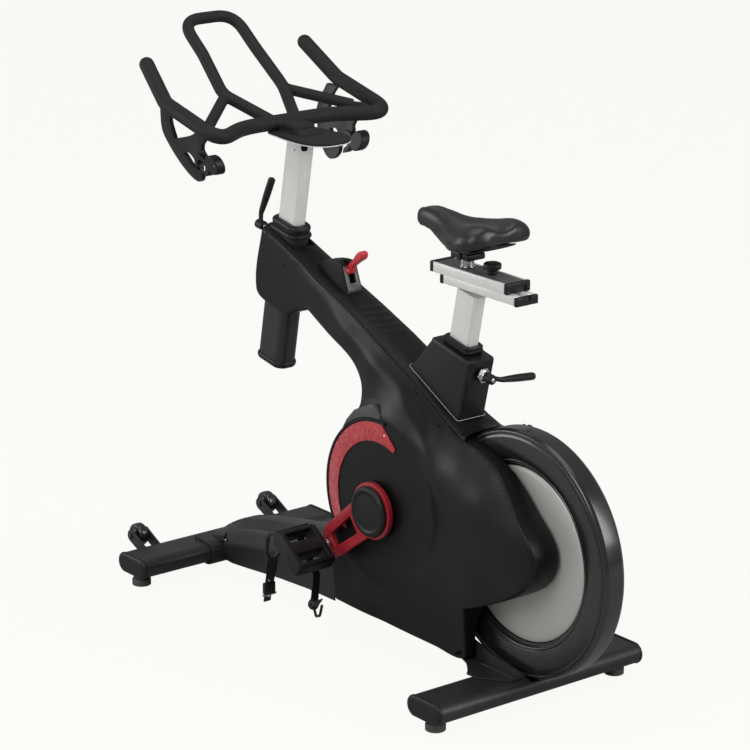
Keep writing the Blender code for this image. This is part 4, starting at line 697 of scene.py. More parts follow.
def both(name, shape, finish, body="frame", replaces=None, sharp=34):
    """The left piece and its mirror image; {} in replaces stands for the side."""
    other = mirrored_y(shape)
    for side, item in (("left", shape), ("right", other)):
        piece(f"{name}_{side}", item, finish, body, replaces and replaces.format(side), sharp)


# ================================================================ side shells
# Upper seam between shell and spine cover, front to rear: x, z, half width in y.
SEAM = [(0.452, 0.7915, 0.037), (0.435, 0.785, 0.037), (0.293, 0.732, 0.038),
        (0.150, 0.677, 0.043), (0.058, 0.638, 0.047), (-0.060, 0.585, 0.0485),
        (-0.163, 0.5275, 0.051), (-0.205, 0.511, 0.054)]
SEAM_Z, SEAM_Y = 1, 2

# Points on the outer face of the left shell: x, z, y.
SURFACE = [
    (0.446, 0.785, 0.037), (0.476, 0.653, 0.037), (0.380, 0.620, 0.037), (0.435, 0.700, 0.037),
    (0.360, 0.700, 0.038), (0.293, 0.730, 0.038), (0.300, 0.645, 0.039), (0.283, 0.690, 0.043),
    (0.150, 0.675, 0.043), (0.160, 0.630, 0.053), (0.160, 0.570, 0.050), (0.058, 0.636, 0.047),
    (0.060, 0.590, 0.062), (0.098, 0.540, 0.060), (-0.040, 0.592, 0.0485), (-0.047, 0.545, 0.070),
    (0.030, 0.530, 0.072), (0.086, 0.480, 0.076), (-0.163, 0.525, 0.051), (-0.150, 0.490, 0.078),
    (-0.249, 0.493, 0.060), (-0.235, 0.455, 0.085), (-0.323, 0.457, 0.072),
    (-0.310, 0.420, 0.093), (-0.391, 0.4117, 0.085), (-0.370, 0.380, 0.097),
    (-0.450, 0.362, 0.093), (-0.425, 0.330, 0.098), (-0.455, 0.310, 0.093),
    (-0.420, 0.270, 0.093), (-0.100, 0.430, 0.087), (0.0, 0.500, 0.084), (0.164, 0.333, 0.086),
    (0.000, 0.333, 0.088), (-0.175, 0.333, 0.0915), (-0.280, 0.330, 0.100), (0.130, 0.220, 0.086),
    (0.000, 0.170, 0.088), (-0.150, 0.220, 0.0915), (-0.290, 0.230, 0.096), (0.137, 0.080, 0.080),
    (0.000, 0.100, 0.081), (-0.150, 0.110, 0.081), (-0.240, 0.120, 0.080), (-0.250, 0.050, 0.078),
    (-0.100, 0.073, 0.079), (-0.345, 0.215, 0.088), (-0.250, 0.172, 0.087),
]
# Lines of x, z: the raised crease across the shell, and the step near its lower edge.
CREASE = [(0.290, 0.712), (0.126, 0.625), (-0.035, 0.560), (-0.115, 0.490), (-0.175, 0.415),
          (-0.218, 0.352), (-0.252, 0.300)]
LOWER_STEP = [(0.080, 0.083), (0.038, 0.098), (-0.067, 0.126), (-0.191, 0.158), (-0.262, 0.182)]
SPINDLE_HOLE_R, SPINDLE_HOLE_STEPS = 0.030, 64
GRID_PITCH = 0.0085
SHELL_THICKNESS = 0.0026


def along_seam(x, column):
    rising = SEAM[::-1]
    return float(np.interp(x, [row[0] for row in rising], [row[column] for row in rising]))


def plate_spline(samples):
    """A thin-plate spline through (x, z, y) samples, as a function y(x, z)."""
    points = np.array(samples)
    count = len(points)
    stiffness = 1e-5

    def kernel(square):
        return np.where(square > 1e-14, square * np.log(np.maximum(square, 1e-14)), 0.0)

    delta = points[:, None, :2] - points[None, :, :2]
    system = np.zeros((count + 3, count + 3))
    system[:count, :count] = kernel((delta ** 2).sum(-1)) + np.eye(count) * stiffness
    system[:count, count] = system[count, :count] = 1.0
    system[:count, count + 1:] = points[:, :2]
    system[count + 1:, :count] = points[:, :2].T
    weights = np.linalg.solve(system, np.append(points[:, 2], [0.0, 0.0, 0.0]))

    def height(x, z):
        square = (points[None, :, 0] - x[:, None]) ** 2 + (points[None, :, 1] - z[:, None]) ** 2
        return (kernel(square) @ weights[:count] + weights[count]
                + weights[count + 1] * x + weights[count + 2] * z)

    return height


base_height = plate_spline(SURFACE)


def to_segment(start, end, x, z):
    """Share along a segment of the nearest place to each (x, z), and the distance to it."""
    run_x, run_z = end[0] - start[0], end[1] - start[1]
    along = (x - start[0]) * run_x + (z - start[1]) * run_z
    share = np.clip(along / (run_x * run_x + run_z * run_z + 1e-18), 0.0, 1.0)
    return share, np.hypot(x - start[0] - share * run_x, z - start[1] - share * run_z)


def to_polyline(line, x, z):
    """Distance to a polyline, side of it (+ on the left of its direction), share along it."""
    best = np.full(len(x), 1e9)
    side = np.zeros(len(x))
    share = np.zeros(len(x))
    lengths = [math.dist(start, end) for start, end in zip(line, line[1:])]
    passed = 0.0
    for start, end, length in zip(line, line[1:], lengths):
        t, distance = to_segment(start, end, x, z)
        near = distance < best
        turn = (end[0] - start[0]) * (z - start[1]) - (end[1] - start[1]) * (x - start[0])
        best = np.where(near, distance, best)
        side = np.where(near, np.sign(turn), side)
        share = np.where(near, (passed + t * length) / sum(lengths), share)
        passed += length
    return best, side, share


def side_heights(x, z):
    """y of the left shell's outer face: flat at the round cover, creased and stepped."""
    crease_height, step_height = 0.0022, 0.0035
    radius = np.hypot(x, z - COVER_Z)
    t = smoothstep(COVER_R - 0.004, COVER_R + 0.030, radius)
    y = COVER_Y * (1 - t) + base_height(x, z) * t

    distance, side, share = to_polyline(CREASE, x, z)
    fold = np.sin(np.pi * np.clip(share, 0.02, 0.98)) ** 0.7
    ridge = crease_height * np.exp(-(distance / 0.016) ** 2)
    hollow = (crease_height * np.exp(-(np.maximum(distance - 0.022, 0) / 0.03) ** 2)
              * (side < 0) * smoothstep(0.006, 0.022, distance))
    y = y + t * fold * (ridge - hollow)

    distance, side, share = to_polyline(LOWER_STEP, x, z)
    signed = np.where(side > 0, 1.0, -1.0) * distance
    fade = smoothstep(0.0, 0.25, share) * smoothstep(COVER_R + 0.010, COVER_R + 0.05, radius)
    return y - step_height * (1 - smoothstep(-0.006, 0.006, -signed)) * fade


def shell_outline():
    """Rows of x, z, inner y, edge radius."""
    drop = 1.16 * 0.003 + GAP
    loop = [(x, z - drop, 0.026, 0.0016) for x, z, _ in SEAM[1:]]
    # Rear edge: x, z, edge radius, at inner y 0.030.
    loop += [(x, z, 0.030, edge) for x, z, edge in (
        (-0.262, 0.497, 0.0018), (-0.333, 0.471, 0.0018), (-0.375, 0.441, 0.0018),
        (-0.412, 0.406, 0.0022), (-0.452, 0.369, 0.004), (-0.467, 0.342, 0.009),
        (-0.468, 0.318, 0.009), (-0.455, 0.288, 0.009), (-0.434, 0.265, 0.008),
        (-0.400, 0.243, 0.007), (-0.344, 0.215, 0.006), (-0.299, 0.195, 0.005),
        (-0.262, 0.180, 0.004))]
    loop += [(-0.257, 0.140, 0.050, 0.005), (-0.257, 0.078, 0.050, 0.005)]
    # Bottom edge.
    loop += [(x, z, 0.062, 0.003) for x, z in (
        (-0.245, 0.070), (-0.160, 0.0705), (-0.060, 0.0715), (0.040, 0.0735), (0.150, 0.0765))]
    # Front edge, around the round cover and up to the head.
    loop += [(0.154, 0.120, 0.050, 0.003), (0.157, 0.165, 0.050, 0.003),
             (0.149, 0.215, GAP, 0.003)]
    loop += [(x, z, GAP, 0.003) for x, z in cover_arc(COVER_R, -33, 56, 9)]
    loop += [(x, z, GAP, 0.010) for x, z in (
        (0.086, 0.500), (0.094, 0.540), (0.118, 0.568), (0.152, 0.588), (0.225, 0.616),
        (0.299, 0.645))]
    loop += [(x, z, GAP, 0.008) for x, z in (
        (0.325, 0.637), (0.380, 0.618), (0.443, 0.630), (0.470, 0.643), (0.476, 0.655))]
    loop.append((0.452, 0.786, GAP, 0.006))
    return loop


def rim_distance(loop, x, z):
    """Distance to the outline and the edge radius there."""
    best = np.full(len(x), 1e9)
    radius = np.zeros(len(x))
    for start, end in zip(loop, loop[1:] + loop[:1]):
        t, distance = to_segment(start, end, x, z)
        near = distance < best
        best = np.where(near, distance, best)
        radius = np.where(near, start[3] + (end[3] - start[3]) * t, radius)
    return best, radius


def inside_mask(loop, x, z):
    hit = np.zeros(len(x), bool)
    for start, end in zip(loop, loop[1:] + loop[:1]):
        if start[1] == end[1]:
            continue
        crosses = (start[1] > z) != (end[1] > z)
        at_x = (end[0] - start[0]) * (z - start[1]) / (end[1] - start[1]) + start[0]
        hit ^= crosses & (x < at_x)
    return hit


def edge_rows(loop, base):
    """Rows of points inside the outline that carry the rounding of its edge."""
    count = len(loop)
    after, before = np.roll(base, -1, 0), np.roll(base, 1, 0)
    tangent = (after - before) / np.linalg.norm(after - before, axis=1)[:, None]
    area = 0.5 * np.sum(base[:, 0] * after[:, 1] - after[:, 0] * base[:, 1])
    inward = np.stack([-tangent[:, 1], tangent[:, 0]], 1) * (1 if area > 0 else -1)
    radii = np.array([point[3] for point in loop])
    rows = []
    for share in (0.08, 0.30, 0.62, 1.0, 1.6):
        depth = share * radii
        row = base + inward * depth[:, None]
        keep = inside_mask(loop, row[:, 0], row[:, 1])
        distance, _ = rim_distance(loop, row[:, 0], row[:, 1])
        keep &= distance > 0.93 * depth
        if share >= 1.0:
            keep &= (np.arange(count) % 2) == 0
        rows.append(row[keep])
    return rows


def field_points(loop, base):
    """A triangular grid inside the outline, and arcs that follow the round cover."""
    columns = np.arange(base[:, 0].min(), base[:, 0].max(), GRID_PITCH)
    levels = np.arange(base[:, 1].min(), base[:, 1].max(), GRID_PITCH * 0.866)
    grid = np.array([(x + (0.5 * GRID_PITCH if j % 2 else 0.0), z)
                     for j, z in enumerate(levels) for x in columns])
    distance, radius = rim_distance(loop, grid[:, 0], grid[:, 1])
    grid = grid[inside_mask(loop, grid[:, 0], grid[:, 1])
                & (distance > 1.6 * radius + 0.55 * GRID_PITCH)]
    grid = grid[np.hypot(grid[:, 0], grid[:, 1] - CRANK_Z) > SPINDLE_HOLE_R + 0.005]
    from_cover = np.hypot(grid[:, 0], grid[:, 1] - COVER_Z) - COVER_R
    grid = grid[np.abs(from_cover - 0.0015) > 0.004]
    arcs = np.array(cover_arc(COVER_R - 0.0005, 56, 300, 90)
                    + cover_arc(COVER_R + 0.0035, 60, 300, 90))
    distance, _ = rim_distance(loop, arcs[:, 0], arcs[:, 1])
    arcs = arcs[inside_mask(loop, arcs[:, 0], arcs[:, 1]) & (distance > 0.006)]
    return [grid, arcs]


def shell_surface():
    loop = spliced(shell_outline(), 0.0045)
    count, steps = len(loop), SPINDLE_HOLE_STEPS
    base = np.array([point[:2] for point in loop])
    hole = np.array([(SPINDLE_HOLE_R * math.cos(2 * math.pi * i / steps),
                      CRANK_Z + SPINDLE_HOLE_R * math.sin(2 * math.pi * i / steps))
                     for i in range(steps)])
    points = np.vstack([base, hole] + edge_rows(loop, base) + field_points(loop, base))
    edges = [(i, (i + 1) % count) for i in range(count)]
    edges += [(count + i, count + (i + 1) % steps) for i in range(steps)]
    verts, _, faces, *_ = delaunay_2d_cdt([Vector(point) for point in points], edges, [], 1, 1e-7)
    flat = np.array([(vert.x, vert.y) for vert in verts])
    distance, radius = rim_distance(loop, flat[:, 0], flat[:, 1])
    y = side_heights(flat[:, 0], flat[:, 1])
    depth = np.maximum(radius - distance, 0.0)
    y = y - radius + np.sqrt(np.maximum(radius ** 2 - depth ** 2, 0.0))

    work = bmesh.new()
    made = [work.verts.new((flat[i, 0], y[i], flat[i, 1])) for i in range(len(flat))]
    for face in faces:
        centre = flat[list(face)].mean(0)
        if math.hypot(centre[0], centre[1] - CRANK_Z) >= SPINDLE_HOLE_R - 0.0003:
            work.faces.new([made[i] for i in face])

    # Side walls: from each open edge inwards in y.
    lower = {}
    open_edges = [edge for edge in work.edges if edge.is_boundary]
    for edge in open_edges:
        for vert in edge.verts:
            if vert in lower:
                continue
            x, outer_y, z = vert.co
            if np.hypot(x, z - CRANK_Z) < SPINDLE_HOLE_R + 0.0002:
                inner_y = outer_y - 0.006
            else:
                nearest = int(np.argmin(((base - np.array((x, z))) ** 2).sum(1)))
                inner_y = loop[nearest][2]
            lower[vert] = work.verts.new((x, inner_y, z))
    for edge in open_edges:
        first, second = edge.verts
        work.faces.new((first, second, lower[second], lower[first]))
    bmesh.ops.recalc_face_normals(work, faces=work.faces)
    return thickened(new_object("shell", work), SHELL_THICKNESS, axis=1)


def shell_screw(x, z, radius=0.0042):
    """A recessed screw head with a raised ring, in the shell face."""
    y = float(side_heights(np.array([x]), np.array([z]))[0])
    profile = [(0.0, y - 0.0030), (radius, y - 0.0030), (radius, y + 0.0004),
               (radius * 0.80, y + 0.0005), (radius * 0.62, y - 0.0012), (0.0, y - 0.0012)]
    return turned(profile, (x, 0, z), steps=32)


both("shell", shell_surface(), "shell_black", replaces="{}_shell", sharp=40)
shell_screws = [shell_screw(x, z) for x, z in ((0.376, 0.720), (-0.072, 0.5625), (-0.150, 0.5150))]
both("shell_screws", joined(*shell_screws), "dark_slot")
FOOT_SCREW = [(0.0, 0.0770), (0.0042, 0.0770), (0.0042, 0.0806), (0.0034, 0.0807),
              (0.0028, 0.0795), (0.0, 0.0795)]
both("shell_foot_screw", turned(FOOT_SCREW, (-0.236, 0, 0.080), steps=32), "dark_slot")

# ---- round belt cover: mottled red crescent, raised black rim, grey wedge and white dot
CRESCENT_OUTER_R, CRESCENT_INNER_R, CRESCENT_DROP = 0.157, 0.127, 0.009
crescent = cover_arc(CRESCENT_OUTER_R, -33, 95, 90) + [(-0.0550, 0.4510)]
crescent += arc(0.0, COVER_Z - CRESCENT_DROP, CRESCENT_INNER_R, 113, -38, 90)
trim = softened(plate(crescent, COVER_Y + GAP, COVER_Y + 0.0023), 0.0006, 2)
both("belt_cover_trim", trim, "trim_red", replaces="belt_cover_trim_{}")
rim_line = cover_arc(0.1635, -34, 98, 100) + cover_arc(0.1578, 98, -34, 100)
rim = softened(plate(rim_line, COVER_Y - 0.004, COVER_Y + 0.0036), 0.0010, 2)
both("belt_cover_rim", rim, "cover_black")
wedge = cover_arc(0.1650, 47, 92, 30)
wedge += [(-0.006, 0.506), (0.018, 0.525), (0.040, 0.5165), (0.075, 0.500), (0.100, 0.474)]
both("cover_wedge", softened(plate(wedge, 0.078, COVER_Y + 0.0015), 0.0012, 3), "housing_grey")
cover_dot = [(0.0, COVER_Y + 0.002), (0.0022, COVER_Y + 0.002), (0.0022, COVER_Y + 0.0032),
             (0.0, COVER_Y + 0.0036)]
both("cover_dot", turned(cover_dot, (-0.022, 0, 0.4705), steps=24), "dot_white")

# ================================================================ spine cover
CROWN = 0.008
# Openings in the cover: x from, x to, half width in y.
HEAD_OPENING = (0.352, 0.4395, 0.0300)
SEAT_OPENING = (-0.186, -0.108, 0.0215)
RIB_COUNT, RIB_X, RIB_PITCH, RIB_HEIGHT = 5, 0.062, 0.019, 0.0024


def rib_height(x, y):
    """Height of the curved cross ribs, each steep on its front side."""
    total = 0.0
    share = (y + 0.004) / 0.027
    if abs(share) >= 1:
        return total
    for k in range(RIB_COUNT):
        middle = RIB_X + RIB_PITCH * k + 0.010 * share ** 2 + 0.006 * share
        offset = (x - middle) / 0.0050
        if -1 < offset < 1:
            ramp = 1 if offset > -0.75 else (offset + 1) * 4
            total += (RIB_HEIGHT * (1 - offset) / 2) * (1 - share ** 4) * ramp
    return total


def spine_point(x, share):
    """A point of the cover's top, share running from -1 to 1 across; over 1 is the skirt."""
    z, half_y = along_seam(x, SEAM_Z), along_seam(x, SEAM_Y)
    rounding = 1 - max(0.0, (abs(share) - 0.97) / 0.03) ** 2
    edge = 0.0012 * (1 - math.sqrt(max(0.0, rounding)))
    skirt = 0.0
    if abs(share) > 1.0:
        skirt = 0.0095 * min(1.0, max(0.0, (-0.200 - x) / 0.006)) + 0.0006
    y = half_y * share
    crown = CROWN * max(0.0, 1 - abs(share) ** 3.2)
    return (x, y, z + crown - edge + rib_height(x, y) - skirt)


def in_opening(x, y, opening):
    low, high, half_y = opening
    return low < x < high and abs(y) < half_y


def spine_cover():
    stations = [0.4445, 0.4395, 0.430, 0.415, 0.400, 0.385, 0.370, 0.352]
    stations += [0.352 - 0.008 * i for i in range(1, 25)]
    stations += [0.152 - 0.0012 * i for i in range(80)]
    stations += [0.056 - 0.008 * i for i in range(1, 32)]
    stations += [-0.200, -0.206, -0.212, -0.218, -0.2225]
    stations = sorted(set(round(x, 5) for x in stations), reverse=True)
    shares = [-1.0001, -1.0, -0.985, -0.95, -0.90, -0.86]
    shares += [round(-0.82 + 0.04 * i, 4) for i in range(42)]
    shares += [0.86, 0.90, 0.95, 0.985, 1.0, 1.0001]
    work = bmesh.new()
    grid = vertex_rows(work, [[spine_point(x, share) for share in shares] for x in stations])
    for i in range(len(stations) - 1):
        for j in range(len(shares) - 1):
            x = 0.5 * (stations[i] + stations[i + 1])
            y = along_seam(x, SEAM_Y) * 0.5 * (shares[j] + shares[j + 1])
            if in_opening(x, y, HEAD_OPENING) or in_opening(x, y, SEAT_OPENING):
                continue
            work.faces.new((grid[i][j], grid[i][j + 1], grid[i + 1][j + 1], grid[i + 1][j]))
    loose = [vert for vert in work.verts if not vert.link_faces]
    bmesh.ops.delete(work, geom=loose, context="VERTS")
    bmesh.ops.recalc_face_normals(work, faces=work.faces)
    return thickened(new_object("spine", work), SHELL_THICKNESS, axis=2)


piece("spine_cover_skin", spine_cover(), "spine_black", replaces="spine_cover", sharp=40)


# ================================================================ post sleeves and collars
def sleeve_loop(front_x, rear_x, half_y, heights=None, count=5):
    """A rounded section seen from above, on the spine or sloping between two heights."""
    half_x, middle = abs(front_x - rear_x) / 2, (front_x + rear_x) / 2
    loop = []
    for u, y in rounded(half_x, half_y, 0.006, count):
        x = middle + u
        if heights:
            share = (x - front_x) / (rear_x - front_x)
            z = heights[0] + (heights[1] - heights[0]) * share
        else:
            bulge = CROWN * (1 - abs(y / along_seam(x, SEAM_Y)) ** 3.2)
            z = along_seam(x, SEAM_Z) + bulge + 0.0004
        loop.append((x, y, z))
    return loop


def collar_ring(levels, axis, hole_radius, radius, count=72):
    """A ring around a post; levels are half x, half y, z."""
    hole = (POST_HALF_X + GAP, POST_HALF_Y + GAP, hole_radius)
    outer = [across(axis, matched(half_x, half_y, min(radius, half_y - 0.001), count), z)
             for half_x, half_y, z in levels]
    inner = [across(axis, matched(*hole, count), z) for *_, z in levels]
    return ring_loft(outer, inner)


# ---- sleeve box where the seat post leaves the spine, with a pale bead round its base that paints the highlight along its edge
SEAT_CLAMP_Z = 0.622
# Front x, rear x, half y, (front z, rear z); no heights at the base, which follows the spine.
SLEEVE_ROWS = [(-0.0300, -0.1780, 0.0335), (-0.0905, -0.2068, 0.0326, (0.6700, 0.6445)),
               (-0.0920, -0.2073, 0.0322, (0.6745, 0.6490)),
               (-0.0940, -0.2070, 0.0308, (0.6765, 0.6512)),
               (-0.0965, -0.2050, 0.0285, (0.6768, 0.6517))]
sleeve = loft([sleeve_loop(*row) for row in SLEEVE_ROWS])
cut(sleeve, loft([across(SEAT_AXIS, rounded(0.0350, 0.0200, 0.008, 6), z) for z in (0.44, 0.72)]))
cut(sleeve, cylinder((-0.190, 0, SEAT_CLAMP_Z), (-0.260, 0, SEAT_CLAMP_Z), 0.0135))
piece("seat_box", sleeve, "moulded_black", replaces="seat_sleeve_cover", sharp=30)
# The pale grey bead is a painted highlight: it stands in for the light caught along the box's base
# edge.
highlight_path = [Vector((x, y, z + 0.0010))
             for x, y, z in sleeve_loop(-0.0285, -0.1795, 0.0350, count=8)]
highlight_path.append(highlight_path[0])
piece("seat_box_highlight_bead", tube(highlight_path, 0.00085, 4), "line_grey")

# ---- seat collar: half x, half y, z
SEAT_COLLAR = [(0.0355, 0.0205, 0.6640), (0.0375, 0.0225, 0.6655), (0.0390, 0.0240, 0.6685),
               (0.0390, 0.0240, 0.6715), (0.0375, 0.0225, 0.6730), (0.0365, 0.0215, 0.6735),
               (0.0365, 0.0215, 0.6750), (0.0380, 0.0230, 0.6760), (0.0380, 0.0230, 0.6785),
               (0.0360, 0.0210, 0.6805)]
piece("seat_collar_ring", collar_ring(SEAT_COLLAR, SEAT_AXIS, hole_radius=0.003, radius=0.011),
      "moulded_black", replaces="seat_collar", sharp=30)

# ---- head tube, its end cap and collar
tube_levels = [(0.041, 0.0245, z) for z in (0.5090, 0.7810)]
piece("head_tube_body", collar_ring(tube_levels, HEAD_AXIS, hole_radius=0.004, radius=0.018),
      "frame_paint", replaces="head_tube")
# End cap: half x, half y, corner radius, z.
HEAD_CAP = [(0.0330, 0.0165, 0.012, 0.4948), (0.0385, 0.0220, 0.017, 0.4952),
            (0.0418, 0.0253, 0.019, 0.4968), (0.0430, 0.0265, 0.020, 0.4990),
            (0.0438, 0.0273, 0.020, 0.5010), (0.0438, 0.0273, 0.020, 0.5062),
            (0.0432, 0.0267, 0.020, 0.5078), (0.0420, 0.0255, 0.019, 0.5088)]
head_cap = loft([across(HEAD_AXIS, rounded(*section), z) for *section, z in HEAD_CAP])
piece("head_end_cap", head_cap, "moulded_black", replaces="head_tube_end_cap")
# Collar: half x, half y, z.
HEAD_COLLAR = [(0.0425, 0.0262, 0.7812), (0.0448, 0.0283, 0.7822), (0.0455, 0.0290, 0.7845),
               (0.0455, 0.0290, 0.7870), (0.0445, 0.0280, 0.7895), (0.0420, 0.0255, 0.7908),
               (0.0410, 0.0245, 0.7915), (0.0410, 0.0245, 0.7935), (0.0418, 0.0252, 0.7948),
               (0.0428, 0.0262, 0.7965), (0.0432, 0.0266, 0.8000), (0.0430, 0.0264, 0.8030),
               (0.0418, 0.0252, 0.8055), (0.0398, 0.0232, 0.8072), (0.0340, 0.0190, 0.8076)]
piece("head_collar_ring", collar_ring(HEAD_COLLAR, HEAD_AXIS, hole_radius=0.004, radius=0.019),
      "moulded_black", replaces="head_collar", sharp=30)

# ================================================================ front base hood
HOOD_FRONT_X, HOOD_REAR_X = 0.6280, 0.1545
# The lower edge jumps between these two stations to clear the front stabiliser.
HOOD_STEP = (0.5726, 0.5732)
# x, half y at the foot, half y at the shoulder, z of the foot, shoulder and ridge.
HOOD_STATIONS = [
    (0.6280, 0.046, 0.036, 0.0732, 0.0755, 0.0800), (0.6000, 0.050, 0.039, 0.0732, 0.0830, 0.0985),
    (0.5732, 0.0535, 0.042, 0.0732, 0.0950, 0.1130),
    (0.5726, 0.0540, 0.042, 0.034, 0.0953, 0.1133), (0.540, 0.056, 0.042, 0.034, 0.1110, 0.1270),
    (0.480, 0.058, 0.044, 0.040, 0.1270, 0.1420), (0.360, 0.066, 0.049, 0.056, 0.1530, 0.1640),
    (0.250, 0.072, 0.053, 0.066, 0.1760, 0.1850), (0.1545, 0.077, 0.056, 0.070, 0.1970, 0.2040)]
LOUVRE_COUNT, LOUVRE_X, LOUVRE_PITCH, LOUVRE_DEPTH = 5, 0.510, 0.021, 0.0026


def louvre(x, y):
    """Drop of the surface in the slanted slots on the top."""
    total = 0.0
    for k in range(LOUVRE_COUNT):
        middle = LOUVRE_X + LOUVRE_PITCH * k + 0.55 * (y - 0.008)
        along = abs(x - middle) / 0.0042
        sideways = abs(y - 0.006) / 0.021
        if along < 1 and sideways < 1:
            total -= LOUVRE_DEPTH * (1 - along ** 4) * (1 - sideways ** 6)
    return total


def hood_row(x):
    """One open cross section, from the left foot over the top to the right foot."""
    rising = HOOD_STATIONS[::-1]
    foot_y, top_y, low, high, ridge = [
        float(np.interp(x, [row[0] for row in rising], [row[k] for row in rising]))
        for k in range(1, 6)]
    foot, waist = (foot_y, low), (foot_y - 0.001, low + 0.55 * (high - low))
    shoulder = (top_y + 0.0035, high - 0.0005)
    side = []
    for start, end in ((foot, waist), (waist, shoulder)):
        for i in range(8):
            t = i / 8
            side.append((start[0] + (end[0] - start[0]) * t, start[1] + (end[1] - start[1]) * t))
    # The shoulder curve takes the place of the last two points of the side.
    side = side[:-2]
    corner, crest = Vector(shoulder), Vector((0.45 * top_y, ridge + 0.0005))
    down = (Vector(waist) - corner).normalized() * 0.006
    inward = (crest - corner).normalized() * 0.006
    side += [tuple(p) for p in corner_curve(corner + down, corner, corner + inward, 4)]
    start = corner + inward
    for i in range(1, 8):
        t = i / 8
        side.append((start.x + (crest.x - start.x) * t, start.y + (crest.y - start.y) * t))
    top = []
    for i in range(25):
        y = 0.45 * top_y * (1 - 2 * i / 24)
        top.append((y, ridge + 0.0005 + 0.0012 * (1 - (y / (0.45 * top_y)) ** 2)))
    full = side + top + [(-y, z) for y, z in reversed(side)]
    return [(x, y, z + louvre(x, y)) for y, z in full]


def front_hood():
    stations = {HOOD_FRONT_X, 0.622, 0.614, 0.606, 0.600, *HOOD_STEP, HOOD_REAR_X}
    stations.update(HOOD_FRONT_X - 0.0014 * i for i in range(1, 95))
    stations.update(0.495 - 0.009 * i for i in range(0, 37))
    stations = [x for x in sorted(stations, reverse=True)
                if not HOOD_STEP[0] < x < HOOD_STEP[1]]
    work = bmesh.new()
    rows = vertex_rows(work, [hood_row(x) for x in stations])
    for first, second in zip(rows, rows[1:]):
        for i in range(len(first) - 1):
            work.faces.new((first[i], first[i + 1], second[i + 1], second[i]))
    bmesh.ops.recalc_face_normals(work, faces=work.faces)
    return thickened(new_object("hood", work), 0.0024, axis=2)


piece("front_hood", front_hood(), "hood_plastic", replaces="front_base_cover", sharp=32)
HOOD_SCREW = [(0.0, -0.002), (0.0030, -0.002), (0.0030, 0.0006), (0.0020, 0.0010), (0.0, 0.0010)]
for side, label in SIDES:
    screw = turned(HOOD_SCREW, (0.565, side * 0.0553, 0.078), (0, side, 0), 24)
    piece(f"hood_screw_{label}", screw, "machined_steel")

# ================================================================ stabilisers and feet
BAR_WALL = 0.0025
# End cap skin: distance out from the bar end, inset of its outline.
END_CAP = [(-0.0020, 0.0012), (0.0004, 0.0), (0.0030, 0.0002), (0.0048, 0.0012),
           (0.0062, 0.0032), (0.0071, 0.0062), (0.0076, 0.0100), (0.0077, 0.0150)]
FOOT_TOP = BAR_Z - BAR_HALF_Z - GAP
# Radius, z.
FOOT_PROFILE = [(0.0, 0.0), (FOOT_R - 0.001, 0.0), (FOOT_R, 0.001), (FOOT_R, 0.0035),
                (FOOT_R - 0.0008, 0.0042), (FOOT_R - 0.0008, 0.0052), (FOOT_R, 0.0060),
                (FOOT_R, 0.0125), (FOOT_R - 0.0015, 0.0148), (0.0130, 0.0152), (0.0130, 0.0170),
                (0.0112, 0.0176), (0.0112, 0.0212), (0.0128, 0.0216), (0.0128, FOOT_TOP),
                (0.0, FOOT_TOP)]


def bar_outline(bar_x, grow_x, grow_z, arc_count):
    outline = stadium(BAR_HALF_X + grow_x, BAR_HALF_Z + grow_z, arc_count)
    return [(bar_x + u, BAR_Z + v) for u, v in outline]


for where, bar_x, half in (("front", BAR_FRONT_X, BAR_FRONT_HALF),
                           ("rear", BAR_REAR_X, BAR_REAR_HALF)):
    bar = plate(bar_outline(bar_x, 0.0, 0.0, 24), -half, half,
                [bar_outline(bar_x, -BAR_WALL, -BAR_WALL, 24)])
    if where == "rear":
        # Room for the flywheel.
        cut(bar, cylinder((WHEEL_X, -0.030, WHEEL_Z), (WHEEL_X, 0.030, WHEEL_Z),
                          WHEEL_R + 0.004, 160))
    piece(f"{where}_bar", bar, "frame_paint", replaces=f"{where}_stabiliser")
    for side, label in SIDES:
        end_y = side * (half + GAP)
        cap = loft([[(x, end_y + side * out, z)
                     for x, z in bar_outline(bar_x, 0.001 - inset, 0.002 - inset, 20)]
                    for out, inset in END_CAP])
        piece(f"end_cap_{where}_{label}_skin", cap, "moulded_black",
              replaces=f"end_cap_{where}_{label}", sharp=40)
        foot = turned(FOOT_PROFILE, (bar_x, side * FOOT_Y, 0.0), (0, 0, 1), 64, ease=0.0005)
        piece(f"foot_{where}_{label}_pad", foot, "foot_rubber", body=f"foot_{where}_{label}",
              replaces=f"foot_{where}_{label}")

# ---- transport wheels between pairs of ears with hexagonal bolt heads
EAR_THICKNESS = 0.004
EAR_OUTLINE = [(BAR_FRONT_X + 0.026, BAR_Z + 0.010), (BAR_FRONT_X + 0.034, BAR_Z - 0.012)]
EAR_OUTLINE += arc(TRANSPORT_X, TRANSPORT_Z, 0.0135, -58, 112, 20)
EAR_BOLT = [(0.0, -0.001), (0.0062, -0.001), (0.0062, 0.0026), (0.0050, 0.0034), (0.0, 0.0034)]
